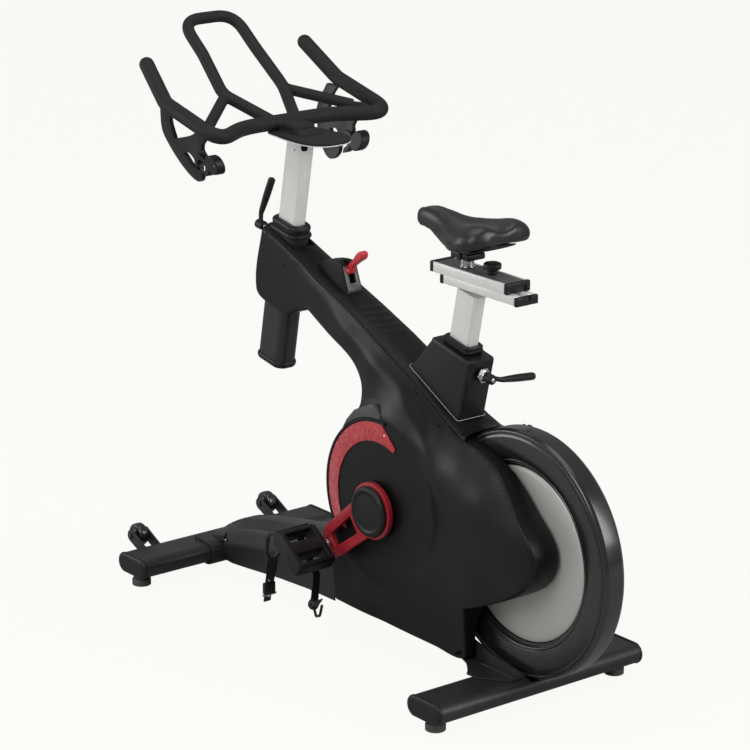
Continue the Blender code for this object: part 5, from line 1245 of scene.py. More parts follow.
# Radius, y from the wheel's middle.
TYRE = mirrored_run([
    (0.0050, -0.0120), (0.0095, -0.0125), (0.0110, -0.0112), (0.0150, -0.0100),
    (0.0165, -0.0112), (TRANSPORT_R - 0.003, -0.0105), (TRANSPORT_R - 0.0006, -0.0080),
    (TRANSPORT_R, -0.0040)])
for side, label in SIDES:
    wheel_y = side * TRANSPORT_Y
    ears = []
    # Each ear: its low y from the wheel's middle, and the way its outer face looks along Y.
    for face_y, out in ((0.0165, 1), (-0.0205, -1)):
        low = wheel_y + face_y
        high = low + EAR_THICKNESS
        ears.append(softened(plate(EAR_OUTLINE, low, high), 0.0007, 2))
        bolt_y = high if out > 0 else low
        ears.append(turned(EAR_BOLT, (TRANSPORT_X, bolt_y, TRANSPORT_Z), (0, out, 0), 6, ease=0))
    piece(f"transport_ears_{label}", joined(*ears), "frame_paint")
    wheel = turned(TYRE, (TRANSPORT_X, wheel_y, TRANSPORT_Z), steps=64, ring=True)
    piece(f"transport_wheel_{label}_tyre", wheel, "wheel_black",
          body=f"transport_wheel_{label}", replaces=f"transport_wheel_{label}")


# ================================================================ resistance lever
def over_spine(x):
    return along_seam(x, SEAM_Z) + (CROWN + GAP)


# ---- housing on the spine, narrower towards its top and front
HOUSING = [(0.296, over_spine(0.296) - 0.001), (0.284, 0.7425), (0.270, 0.7515),
           (0.250, 0.7565), (0.232, 0.7590), (0.216, 0.7592), (0.207, 0.7560),
           (0.1865, over_spine(0.187) - 0.002), (0.240, over_spine(0.240) - 0.003)]
housing = plate(HOUSING, -0.021, 0.021)
for vert in housing.data.vertices:
    lean = 1 - 0.13 * float(smoothstep(0.700, 0.760, vert.co.z))
    vert.co.y *= lean * (1 - 0.25 * float(smoothstep(0.265, 0.298, vert.co.x)))
cut(housing, box((0.178, -0.0068, 0.7165), (0.2285, 0.0068, 0.775)))
piece("lever_housing", softened(housing, 0.0022, 3, 30), "spine_black",
      replaces="resistance_lever_housing", slot="housing_grey")
back = plate([(0.2052, 0.7520), (0.1872, 0.7035), (0.1858, 0.7040), (0.2040, 0.7530)],
             -0.0172, 0.0172)
cut(back, box((0.170, -0.0075, 0.7185), (0.220, 0.0075, 0.775)))
piece("lever_housing_back", softened(back, 0.0004, 2), "housing_grey")

# ---- lever, wider towards its rear tip, and its pivot
LEVER = [(0.197, 0.736), (0.2095, 0.736), (0.2115, 0.747), (0.2000, 0.757), (0.1865, 0.7695),
         (0.1720, 0.7850), (0.1620, 0.7902), (0.1545, 0.7868), (0.1560, 0.7775),
         (0.1720, 0.7655), (0.1900, 0.7510)]
lever = softened(plate(spliced(LEVER, 0.003, 60), -0.0058, 0.0058), 0.0018, 4, 50)
for vert in lever.data.vertices:
    vert.co.y *= 1.0 + 0.55 * float(np.clip((0.195 - vert.co.x) / 0.04, 0, 1))
pivot = cylinder((0.203, -0.0125, 0.742), (0.203, 0.0125, 0.742), 0.0060, 32, bevel=0.0008)
piece("resistance_lever_arm", joined(lever, pivot), "lever_red", body="resistance_lever",
      replaces="resistance_lever", sharp=40)

# ================================================================ handlebar group
post_loop = eased(chamfered(POST_HALF_X, POST_HALF_Y, POST_CHAMFER), 0.0009, closed=True)
post = loft([across(HEAD_AXIS, post_loop, z) for z in (0.605, 0.9960)])
cut(post, box((0.2, -0.1, 0.9892), (0.5, 0.1, 1.05)))
piece("handlebar_post_tube", post, "post_aluminium", body="handlebar_post",
      replaces="handlebar_post")

# ---- bars: outer bar, raised inner loop, struts and corner webs, melted into one skin
OUTER_BAR_R, LOOP_R, STRUT_R = 0.0157, 0.0126, 0.0118
# Left halves, as x, y, z, and fillet radii in the same order.
OUTER_BAR = [(0.6155, 0.2003, 1.1185), (0.526, 0.217, 1.055), (0.341, 0.217, 1.0115),
             (0.411, 0.112, 1.0110), (0.412, 0.030, 1.0112)]
OUTER_FILLETS = [0, 0.045, 0.034, 0.15, 0.10]
INNER_LOOP = [(0.424, 0.030, 1.013), (0.526, 0.076, 1.056), (0.609, 0.066, 1.125),
              (0.684, 0.065, 1.1825)]
LOOP_FILLETS = [0, 0.060, 0.2, 0.090]
WEB = ((0.372, 0.196, 1.0130), (0.410, 0.180, 1.0130), (0.433, 0.172, 1.0210),
       (0.405, 0.196, 1.0190))
outer_path = fillet_path(mirrored_run(OUTER_BAR), OUTER_FILLETS + OUTER_FILLETS[::-1], 12)
loop_path = fillet_path(mirrored_run(INNER_LOOP), LOOP_FILLETS + LOOP_FILLETS[::-1], 16)
solids = [tube(outer_path, OUTER_BAR_R, 7), tube(loop_path, LOOP_R, 7),
          box((0.350, -0.028, 0.9990), (0.425, 0.028, 1.0150), 0.006)]
for side, _ in SIDES:
    strut = [(0.428, side * 0.183, 1.0185), (0.520, side * 0.077, 1.0500)]
    solids.append(tube(strut, STRUT_R, 7))
    tip_x, tip_y, tip_z = OUTER_BAR[0]
    solids.append(ball((tip_x, side * tip_y, tip_z), OUTER_BAR_R))
    solids.append(loft([[(x, side * y, z + lift) for x, y, z in WEB] for lift in (-0.008, 0.008)]))
bars = joined(*solids)
modified(bars, "REMESH", mode="VOXEL", voxel_size=0.0020, use_smooth_shade=True)
modified(bars, "SMOOTH", factor=0.5, iterations=12)
piece("handlebar_tubes", baked(bars), "grip_black", body="handlebar_post",
      replaces="handlebar", sharp=60)

# ---- console: tongue-shaped top, thin plate under it, block on it
TONGUE = [(0.240, 0.0), (0.243, 0.023), (0.256, 0.043), (0.282, 0.055), (0.325, 0.057),
          (0.372, 0.052), (0.415, 0.044), (0.432, 0.030), (0.438, 0.0)]
tongue = spliced(TONGUE + [(x, -y) for x, y in reversed(TONGUE[1:-1])], 0.004, 70)
piece("console_top", softened(slab(tongue, 0.9912, 0.9975), 0.0024, 4), "grip_black",
      body="handlebar_post")
tongue_centre = Vector((0.335, 0.0))
plate_line = [tuple(tongue_centre + (Vector(point) - tongue_centre) * 1.006) for point in tongue]
piece("console_plate", softened(slab(plate_line, 0.9893, 0.9910), 0.0004, 2), "dot_white",
      body="handlebar_post")
block = loft([[(0.375 + u, v, z) for u, v in rounded(half_x, half_y, 0.012, 8)]
              for half_x, half_y, z in ((0.050, 0.030, 0.9970), (0.046, 0.026, 1.0060))])
piece("console_block", softened(block, 0.002, 3), "grip_black", body="handlebar_post")
screw = cylinder((0.3305, 0.0212, 0.9710), (0.3305, 0.0120, 0.9710), 0.0062, 32, bevel=0.0012)
piece("post_screw", screw, "dark_slot", body="handlebar_post", slot="moulded_black")
mark = cylinder((0.366, 0.0156, 0.961), (0.366, 0.0140, 0.961), 0.0016, 20)
piece("post_mark", mark, "dark_slot", body="handlebar_post", slot="moulded_black")

# ---- bottle holders: a web with a window, an open cup ring and a round flange
CUP_X, CUP_Z = 0.4446, 0.9390
HOLDER_WEB = [(0.549, 1.0405), (0.563, 0.9920), (0.558, 0.9735), (0.5275, 0.9270),
              (0.4955, 0.9010), (0.4787, 0.8970), (0.4658, 0.9025), (0.4580, 0.9140),
              (0.4600, 0.9360), (0.4423, 0.9530), (0.4290, 0.9620), (0.4340, 0.9715),
              (0.4300, 0.9825), (0.4156, 0.9967), (0.4105, 1.0125), (0.4300, 1.0180),
              (0.4445, 1.0070), (0.5246, 0.9810), (0.5240, 1.0190), (0.5120, 1.0405)]
HOLDER_WINDOW = [(0.5037, 0.9548), (0.4852, 0.9576), (0.4680, 0.9352), (0.4710, 0.9222),
                 (0.4814, 0.9268)]
# Radius, y.
CUP = mirrored_run([(0.0120, -0.0085), (0.0225, -0.0085), (0.0232, -0.0075)])
FLANGE = mirrored_run([(0.0, -0.0110), (0.0180, -0.0110), (0.0198, -0.0098), (0.0204, -0.0080)])
web = plate(spliced(HOLDER_WEB, 0.003, 55), -0.0045, 0.0045, [spliced(HOLDER_WINDOW, 0.002, 70)])
web = softened(web, 0.0016, 3, 40)
cup = turned(CUP, (CUP_X, 0.0, CUP_Z), steps=72, ring=True)
cut(cup, box((0.441, -0.02, 0.905), (0.463, 0.02, 0.9340)))
cup = softened(cup, 0.0010, 2, 40)
flange = turned(FLANGE, (0.4055, 0.0, 0.9465), steps=72)
cut(flange, cylinder((CUP_X, -0.02, CUP_Z), (CUP_X, 0.02, CUP_Z), 0.0228, 96))
holder = joined(web, cup, softened(flange, 0.0008, 2, 50))
holder_mark = turned([(0.0, 0.0100), (0.0012, 0.0100), (0.0012, 0.0113), (0.0, 0.0114)],
                     (0.393, 0, 0.948), steps=16)
for item in (holder, holder_mark):
    # Out to the left grip, leaning outwards towards the top.
    for vert in item.data.vertices:
        vert.co.y += 0.2050 + 0.30 * (vert.co.z - 1.02)
both("bottle_holder_hook", holder, "moulded_black", body="handlebar_post",
     replaces="bottle_holder_{}", sharp=40)
both("holder_mark", holder_mark, "dot_white", body="handlebar_post")


# ---- clamp levers
def handle(points):
    """A bent lever handle that swells along its length and ends in a round tip."""
    radius, step, thin, thick = 0.0062, 0.003, 0.78, 1.25
    path = fillet_path(points, 0.02)
    dense = []
    for start, end in zip(path, path[1:]):
        steps = max(1, int((end - start).length / step))
        dense += [start + (end - start) * (k / steps) for k in range(steps)]
    dense.append(path[-1])
    total = len(dense) - 1
    radii = []
    for i in range(total + 1):
        t = i / total
        factor = thin + (thick - thin) * smoothstep(0.15, 0.75, t)
        from_tip = (1 - t) * total * step / radius
        if from_tip < 1.0:
            factor *= math.sqrt(max(0.02, 1 - (1 - from_tip) ** 2))
        radii.append(float(factor))
    return tube(dense, radius, 8, radii)


HEAD_CLAMP_Z = 0.776
front_handle = handle([(0.503, 0, HEAD_CLAMP_Z), (0.506, -0.003, HEAD_CLAMP_Z + 0.024),
                       (0.480, -0.014, HEAD_CLAMP_Z + 0.103)])
boss = cylinder((0.4900, 0, HEAD_CLAMP_Z), (0.5130, 0, HEAD_CLAMP_Z + 0.002), 0.0098,
                bevel=0.0018)
stud = cylinder((0.4450, 0, HEAD_CLAMP_Z), (0.4930, 0, HEAD_CLAMP_Z), 0.0055, 32)
piece("front_clamp_handle", joined(front_handle, boss), "moulded_black",
      body="handlebar_clamp_lever", replaces="handlebar_clamp_lever", sharp=40)
piece("front_clamp_stud", stud, "machined_steel", body="handlebar_clamp_lever")
piece("front_clamp_screw", ball((0.5130, 0, HEAD_CLAMP_Z + 0.002), 0.0048, (0.5, 1, 1)),
      "machined_steel", body="handlebar_clamp_lever")

# ================================================================ seat group
RAIL_FRONT, RAIL_REAR, RAIL_LOW, RAIL_HIGH = -0.119, -0.326, 0.7890, 0.8060
CARRIAGE_FRONT, CARRIAGE_REAR, CARRIAGE_LOW, CARRIAGE_HIGH = -0.092, -0.300, 0.8065, 0.8265
CAP_DEPTH = 0.0089
KNOB_X = -0.233

post = loft([across(SEAT_AXIS, post_loop, z) for z in (0.487, 0.7800)])
cut(post, box((-0.30, -0.05, 0.7885), (-0.05, 0.05, 0.85)))
piece("seat_post_tube", post, "post_aluminium", body="seat_post", replaces="seat_post")


def beam_caps(name, body, replaces, ends, half_y, heights, bevel, socket):
    """Caps on both ends of a beam; the rear one has a socket, given as box corners."""
    for label, end, out in (("front", ends[0], 1), ("rear", ends[1], -1)):
        low_x, high_x = sorted((end + out * GAP, end + out * (GAP + CAP_DEPTH)))
        cap = box((low_x, -half_y, heights[0]), (high_x, half_y, heights[1]), bevel, 4)
        if label == "rear":
            cut(cap, box(*socket, bevel=0.001, segments=2))
        piece(f"{name}_{label}", cap, "moulded_black", body=body,
              replaces=replaces.format(label))


# ---- fixed rail, slotted along its top, with its caps
rail = plate(rectangle(RAIL_FRONT, RAIL_REAR, RAIL_LOW, RAIL_HIGH), -0.0255, 0.0255)
cut(rail, box((-0.36, -0.008, 0.7935), (-0.10, 0.008, 0.81)))
piece("seat_rail_beam", softened(rail, 0.0010, 3), "rail_aluminium", body="seat_post",
      replaces="seat_rail")
beam_caps("rail_cap", "seat_post", "seat_rail_{}_cap", ends=(RAIL_FRONT, RAIL_REAR),
          half_y=0.0272, heights=(RAIL_LOW - 0.0012, RAIL_HIGH - 0.0003), bevel=0.0024,
          socket=((-0.3400, -0.0090, 0.7965), (-0.3300, 0.0090, 0.8100)))

# ---- sliding carriage: hollow below, with a channel on top, and its caps
carriage = plate(rectangle(CARRIAGE_FRONT, CARRIAGE_REAR, CARRIAGE_LOW, CARRIAGE_HIGH),
                 -0.0285, 0.0285)
cut(carriage, box((-0.32, -0.0225, 0.80), (-0.07, 0.0225, 0.8220)))
cut(carriage, box((-0.310, -0.0238, 0.8254), (-0.080, 0.0238, 0.8300)))
cut(carriage, cylinder((KNOB_X, 0, 0.80), (KNOB_X, 0, 0.84), 0.0045, 32))
piece("carriage_beam", softened(carriage, 0.0012, 3), "rail_aluminium", body="seat_carriage",
      replaces="seat_carriage")
channel = slab(rectangle(-0.0935, -0.2990, 0.0234, -0.0234), 0.8252, 0.8259,
               [arc(KNOB_X, 0.0, 0.0052, 0, 360, 32)[:-1]])
piece("carriage_channel", softened(channel, 0.0002, 1), "channel_grey", body="seat_carriage")
beam_caps("carriage_cap", "seat_carriage", "carriage_{}_cap",
          ends=(CARRIAGE_FRONT, CARRIAGE_REAR), half_y=0.0299,
          heights=(CARRIAGE_LOW - 0.0002, CARRIAGE_HIGH + 0.0012), bevel=0.0026,
          socket=((-0.3150, -0.0200, 0.8020), (-0.3040, 0.0200, 0.8195)))

# ---- saddle pin, bracket and wires
PIN = [(0.0, CARRIAGE_HIGH + GAP), (0.0155, CARRIAGE_HIGH + GAP), (0.0155, CARRIAGE_HIGH + 0.0022),
       (0.0132, CARRIAGE_HIGH + 0.0032), (0.0132, 0.8500), (0.0, 0.8500)]
piece("saddle_pin", turned(PIN, (-0.160, 0, 0), (0, 0, 1), 64), "machined_steel",
      body="seat_carriage", replaces="saddle_clamp")
bracket = joined(
    box((-0.188, -0.0215, 0.8440), (-0.134, 0.0215, 0.8570), 0.003),
    cylinder((-0.1610, -0.0245, 0.8505), (-0.1610, 0.0245, 0.8505), 0.0075, 32, bevel=0.001),
    box((-0.180, -0.0150, 0.8560), (-0.142, 0.0150, 0.8680), 0.002))
piece("saddle_bracket", bracket, "moulded_black", body="seat_carriage")
WIRE = [(-0.060, 0.010, 0.8860), (-0.110, 0.016, 0.8640), (-0.150, 0.0205, 0.8600),
        (-0.190, 0.0215, 0.8610), (-0.235, 0.030, 0.8860)]
for side, label in SIDES:
    wire = tube(fillet_path([(x, side * y, z) for x, y, z in WIRE], 0.03, 6), 0.0034, 5)
    piece(f"saddle_wire_{label}", wire, "moulded_black", body="seat_carriage")

# ---- six-lobed slide knob on a stem
KNOB = [(0.0150, 0.8368), (0.0166, 0.8378), (0.0170, 0.8395), (0.0170, 0.8462),
        (0.0164, 0.8480), (0.0145, 0.8492), (0.0090, 0.8494)]
STEM = [(0.0, 0.8110), (0.0040, 0.8110), (0.0040, 0.8270), (0.0088, 0.8272),
        (0.0098, 0.8290), (0.0092, 0.8345), (0.0110, 0.8375), (0.0, 0.8375)]
lobes = []
for i in range(96):
    angle = 2 * math.pi * i / 96
    lobes.append((math.cos(angle), math.sin(angle), 1.0 + 0.035 * math.cos(6 * angle)))
knob = loft([[(KNOB_X + radius * swell * cosine, radius * swell * sine, z)
              for cosine, sine, swell in lobes] for radius, z in KNOB])
stem = turned(STEM, (KNOB_X, 0, 0), (0, 0, 1), 48)
piece("slide_knob", joined(knob, stem), "moulded_black", body="seat_slide_knob",
      replaces="seat_slide_knob", sharp=40)

# ---- seat clamp, behind the sleeve box
clamp_x = axis_x(SEAT_AXIS, SEAT_CLAMP_Z) - 0.0353
COLLET = [(0.0, 0.0), (0.0125, 0.0), (0.0118, 0.0018), (0.0095, 0.0026), (0.0085, 0.0060),
          (0.0, 0.0060)]


def at_clamp(behind, y=0, rise=0.0):
    """A place behind the clamp face."""
    return (clamp_x - behind, y, SEAT_CLAMP_Z + rise)


nut = joined(cylinder(at_clamp(0.0335), at_clamp(0.0395), 0.0158, 6, bevel=0.0008),
             turned(COLLET, at_clamp(0.0392), (-1, 0, 0), 48),
             cylinder(at_clamp(0.0015), at_clamp(0.050), 0.0050, 32))
piece("seat_clamp_nut", nut, "machined_steel", body="seat_clamp_lever")
seat_handle = handle([at_clamp(0.053), at_clamp(0.062, -0.022, -0.006),
                      at_clamp(0.055, -0.113, -0.017)])
boss = cylinder(at_clamp(0.0440), at_clamp(0.0645, 0, -0.003), 0.0098, bevel=0.0016)
piece("seat_clamp_handle", joined(seat_handle, boss), "moulded_black", body="seat_clamp_lever",
      replaces="seat_clamp_lever", sharp=40)
piece("seat_clamp_screw", ball(at_clamp(0.0645, 0, -0.003), 0.0046, (0.45, 1, 1)),
      "machined_steel", body="seat_clamp_lever")

# ---- saddle
# Stations, nose to rear: x, half width, z of top, edge and underside, depth of the mid valley.
SADDLE = [
    (-0.021, 0.010, 0.9080, 0.9010, 0.8900, 0.000), (-0.024, 0.0150, 0.9150, 0.9030, 0.8870, 0.0),
    (-0.032, 0.0205, 0.9215, 0.9050, 0.8850, 0.0010),
    (-0.055, 0.0240, 0.9270, 0.9080, 0.8850, 0.0020),
    (-0.095, 0.0285, 0.9240, 0.9030, 0.8780, 0.0030),
    (-0.130, 0.0400, 0.9180, 0.8920, 0.8670, 0.0040),
    (-0.165, 0.0620, 0.9175, 0.8840, 0.8660, 0.0070),
    (-0.200, 0.0790, 0.9220, 0.8880, 0.8710, 0.0080),
    (-0.232, 0.0840, 0.9290, 0.8970, 0.8780, 0.0100),
    (-0.256, 0.0770, 0.9290, 0.9000, 0.8860, 0.0100),
    (-0.266, 0.0640, 0.9250, 0.9020, 0.8890, 0.0080),
    (-0.2715, 0.0450, 0.9180, 0.9030, 0.8930, 0.0040)]
SADDLE_SHRINK, SWELL_LIMIT, CLOTH_FRAMES = 0.0012, 0.0020, 20


def smooth_column(values):
    """Station values spread over 67 stations through a moving average."""
    dense = np.linspace(0, 1, 265)
    values = np.interp(dense, np.linspace(0, 1, len(values)), values)
    kernel = np.hanning(37)
    kernel /= kernel.sum()
    padded = np.concatenate([2 * values[0] - values[18:0:-1], values,
                             2 * values[-1] - values[-2:-20:-1]])
    return np.interp(np.linspace(0, 1, 67), dense, np.convolve(padded, kernel, "valid"))


def curve_value(before, start, end, after, t):
    """Catmull-Rom value at share t between start and end."""
    return 0.5 * (2 * start + (end - before) * t
                  + (2 * before - 5 * start + 4 * end - after) * t * t
                  + (3 * start - before - 3 * end + after) * t ** 3)


def saddle_body():
    loops = []
    columns = [smooth_column([row[k] for row in SADDLE]) for k in range(6)]
    for x, width, top, edge, low, valley in zip(*columns):
        width, top, low = width - SADDLE_SHRINK, top - SADDLE_SHRINK, low + SADDLE_SHRINK
        # Left half section as y, z, from the middle of the top round to that of the underside.
        half = [(0.0, top - valley), (0.22 * width, top - 0.72 * valley), (0.50 * width, top),
                (0.74 * width, top - 0.14 * (top - edge)),
                (0.92 * width, top - 0.50 * (top - edge)), (width, edge),
                (0.97 * width, 0.5 * (edge + low)), (0.88 * width, low),
                (0.55 * width, low + 0.002), (0.0, low + 0.005)]
        ends = [(-y, z) for y, z in (half[1], half[-2])]
        padded = [ends[0], *half, ends[1]]
        section = []
        for four in zip(padded, padded[1:], padded[2:], padded[3:]):
            for i in range(4):
                section.append(tuple(curve_value(*values, i / 4) for values in zip(*four)))
        section.append(half[-1])
        loops.append([(x, y, z) for y, z in section]
                     + [(x, -y, z) for y, z in reversed(section[1:-1])])
    return loft(loops)


def inflated(saddle):
    """Swells the saddle by a pressurised cloth run, its underside pinned."""
    modified(saddle, "REMESH", mode="VOXEL", voxel_size=0.0042, use_smooth_shade=True)
    modified(saddle, "SMOOTH", factor=0.5, iterations=3)
    baked(saddle)
    rest = np.array([vert.co for vert in saddle.data.vertices])
    pinned = saddle.vertex_groups.new(name="pinned")
    for vert in saddle.data.vertices:
        if vert.co.z < 0.886 and vert.normal.z < 0.2:
            pinned.add([vert.index], 1.0, "REPLACE")
    cloth = saddle.modifiers.new("pad", "CLOTH")
    settings = cloth.settings
    settings.quality = 6
    settings.mass = 0.25
    settings.tension_stiffness = 28.0
    settings.compression_stiffness = 28.0
    settings.shear_stiffness = 12.0
    settings.bending_stiffness = 3.0
    settings.vertex_group_mass = "pinned"
    settings.use_pressure = True
    settings.uniform_pressure_force = 3.0
    settings.effector_weights.gravity = 0.0
    cloth.collision_settings.use_collision = False
    cloth.point_cache.frame_start = 1
    cloth.point_cache.frame_end = CLOTH_FRAMES
    for step in range(1, CLOTH_FRAMES + 1):
        SCENE.frame_set(step)
    graph = bpy.context.evaluated_depsgraph_get()
    done = saddle.evaluated_get(graph).to_mesh()
    swollen = np.array([vert.co for vert in done.vertices])
    saddle.evaluated_get(graph).to_mesh_clear()
    saddle.modifiers.clear()
    swell = swollen - rest
    length = np.linalg.norm(swell, axis=1)
    swell *= np.minimum(1.0, SWELL_LIMIT / np.maximum(length, 1e-9))[:, None]
    saddle.data.vertices.foreach_set("co", (rest + swell).astype(np.float32).ravel())
    saddle.data.update()
    SCENE.frame_set(1)
    modified(saddle, "SMOOTH", factor=0.4, iterations=2)
    return saddle


saddle = saddle_body()
inflated(saddle)
modified(saddle, "SUBSURF", levels=1, render_levels=1)
piece("saddle_cover", baked(saddle), "saddle_black", body="seat_carriage",
      replaces="saddle", sharp=70)

# Hard pan under the saddle: x, half width, z of the underside.
PAN = [(-0.050, 0.016, 0.8830), (-0.095, 0.020, 0.8765), (-0.130, 0.030, 0.8665),
       (-0.165, 0.048, 0.8640), (-0.200, 0.060, 0.8680), (-0.238, 0.060, 0.8735),
       (-0.255, 0.046, 0.8810)]
pan = loft([[(x, half, low + 0.006), (x, half - 0.002, low + 0.001), (x, 0.0, low - 0.0005),
             (x, -half + 0.002, low + 0.001), (x, -half, low + 0.006), (x, 0.0, low + 0.010)]
            for x, half, low in PAN])
modified(pan, "SUBSURF", levels=2, render_levels=2)
piece("saddle_pan", baked(pan), "moulded_black", body="seat_carriage", sharp=50)

# ================================================================ crank
ARM_LOW, ARM_HIGH = 0.0960, 0.1070
ARM_OUTLINE = arc(0.0, 0.0, 0.0577, 43, 317, 90)
ARM_OUTLINE += mirrored_run([(0.150, -0.0355), (0.170, -0.0320), (0.190, -0.013)])
ARM_WINDOW = [(0.070, 0.0195), (0.070, -0.0195), (0.154, -0.014), (0.154, 0.014)]
arm = plate(eased(ARM_OUTLINE, 0.004, 4, True), ARM_LOW, ARM_HIGH,
            [eased(ARM_WINDOW, 0.003, 4, True)])
cut(arm, cylinder((0, 0.08, 0), (0, 0.12, 0), 0.0098),
    cylinder((CRANK_ARM, 0.08, 0), (CRANK_ARM, 0.12, 0), 0.0075, 40))
softened(arm, 0.0011, 3, 40)
arm.data.transform(Matrix.Translation((0, 0, CRANK_Z)))
other_arm = new_object("arm_copy", bmesh_of(arm.data))
turned_about_y(arm, ARM_ANGLE, 0.0, CRANK_Z)
turned_about_y(other_arm, ARM_ANGLE + math.pi, 0.0, CRANK_Z)
piece("crank_arm_left_plate", arm, "arm_red", body="crank", replaces="crank_arm_left")
piece("crank_arm_right_plate", mirrored_y(other_arm, keep=False), "arm_red", body="crank",
      replaces="crank_arm_right")

# Dished cap over the arm's hub: radius, y.
CRANK_CAP = [(0.0, 0.1085), (0.0200, 0.1085), (0.0200, ARM_HIGH + GAP), (0.0500, ARM_HIGH + GAP),
             (0.0516, ARM_HIGH + 0.0015), (0.0522, 0.1105), (0.0516, 0.1135), (0.0500, 0.1162),
             (0.0475, 0.1182), (0.0440, 0.1190), (0.0412, 0.1186), (0.0385, 0.1166),
             (0.0360, 0.1160), (0.0200, 0.1162), (0.0, 0.1163)]
both("crank_cap_cover", turned(CRANK_CAP, (0, 0, CRANK_Z), ease=0.0012), "moulded_black",
     body="crank", replaces="crank_cap_{}")

# Spindle with the belt pulley on it: radius, y; the pulley is mirrored about the belt.
SPINDLE_END = [(0.0110, 0.0955), (0.0095, 0.0958), (0.0095, 0.108), (0.0, 0.108)]
PULLEY = mirrored_run([(0.0110, -0.0065), (0.026, -0.0065), (0.030, -0.003),
                       (PULLEY_R - 0.006, -0.003), (PULLEY_R - 0.006, -0.0065),
                       (PULLEY_R, -0.0065)])
spindle_line = [(radius, -y) for radius, y in reversed(SPINDLE_END)]
spindle_line += [(radius, BELT_Y + y) for radius, y in PULLEY]
spindle_line += SPINDLE_END
piece("crank_spindle_turned", turned(spindle_line, (0, 0, CRANK_Z)), "machined_steel",
      body="crank", replaces="crank_spindle")

# ================================================================ pedals
PEDAL_TILT = math.radians(37)
PEDAL_IN, PEDAL_OUT = 0.1250, 0.2150
PEDAL_MID = 0.5 * (PEDAL_IN + PEDAL_OUT)
RIDGE_COUNT, RIDGE_PITCH = 9, 0.009
DECK_OUTLINE = [(0.047, 0.012), (0.040, 0.017), (-0.040, 0.017), (-0.047, 0.012),
                (-0.047, -0.012), (-0.040, -0.017), (0.040, -0.017), (0.047, -0.012)]
# Toe cage paths, as x and z from the pedal axis around an absolute y.
HOOP_PATH = [(0.0410, PEDAL_IN + 0.010, 0.0308), (0.078, PEDAL_IN + 0.014, 0.018),
             (0.102, PEDAL_IN + 0.026, -0.032), (0.110, PEDAL_MID, -0.062),
             (0.102, PEDAL_OUT - 0.026, -0.032), (0.078, PEDAL_OUT - 0.014, 0.018),
             (0.0410, PEDAL_OUT - 0.010, 0.0308)]
TAIL_PATH = [(0.106, PEDAL_MID, -0.046), (0.112, PEDAL_MID, -0.082), (0.118, PEDAL_MID, -0.108),
             (0.126, PEDAL_MID, -0.147)]
STRAP_PATH = [(0.0432, PEDAL_IN + 0.016, 0.0282), (0.0545, PEDAL_IN + 0.014, 0.0120),
              (0.049, PEDAL_IN + 0.012, -0.014), (0.010, PEDAL_IN + 0.006, -0.062),
              (-0.020, PEDAL_MID - 0.010, -0.112), (-0.052, PEDAL_MID + 0.015, -0.104),
              (-0.084, PEDAL_OUT - 0.018, -0.076)]
STRAP_LOOP_PATH = [(-0.030, PEDAL_MID, -0.108), (-0.052, PEDAL_MID + 0.010, -0.124),
                   (-0.078, PEDAL_MID + 0.020, -0.112), (-0.090, PEDAL_MID + 0.024, -0.086)]


def ribbon(path, half_widths, half_thickness):
    """A flat band along a path, its width kept near Y."""
    rows = []
    for i, place in enumerate(path):
        along = (path[min(i + 1, len(path) - 1)] - path[max(i - 1, 0)]).normalized()
        wide = Vector((0, 1, 0)) - along * along.y
        wide.normalize()
        out = along.cross(wide).normalized()
        section = ((1, 0.5), (0.96, 1), (-0.96, 1), (-1, 0.5),
                   (-1, -0.5), (-0.96, -1), (0.96, -1), (1, -0.5))
        rows.append([place + wide * u * half_widths[i] + out * v * half_thickness
                     for u, v in section])
    return loft(rows)


def pedal_deck(axle_x, axle_z):
    """Deck with two windows, a hub and rows of ridges on both faces."""
    outline = eased([(axle_x + x, axle_z + z) for x, z in DECK_OUTLINE], 0.0025, 3, True)
    deck = plate(outline, PEDAL_IN, PEDAL_OUT)
    for sign in (1, -1):
        low_x, high_x = sorted((axle_x + sign * 0.014, axle_x + sign * 0.036))
        cut(deck, box((low_x, PEDAL_IN + 0.012, axle_z - 0.03),
                      (high_x, PEDAL_OUT - 0.012, axle_z + 0.03), 0.002, 2))
    softened(deck, 0.0012, 2, 40)
    ridges = []
    for sign in (1, -1):
        x = axle_x + sign * 0.0425
        for k in range(RIDGE_COUNT):
            y = PEDAL_IN + 0.009 + k * RIDGE_PITCH
            for low, high in ((0.0155, 0.0180), (-0.0180, -0.0155)):
                ridges.append(box((x - 0.0016, y - 0.0014, axle_z + low),
                                  (x + 0.0016, y + 0.0014, axle_z + high), 0.0005, 1))
    hub = cylinder((axle_x, PEDAL_IN - 0.001, axle_z), (axle_x, PEDAL_OUT + 0.0005, axle_z),
                   0.0118, 40, bevel=0.001)
    return turned_about_y(joined(deck, hub, *ridges), PEDAL_TILT, axle_x, axle_z)


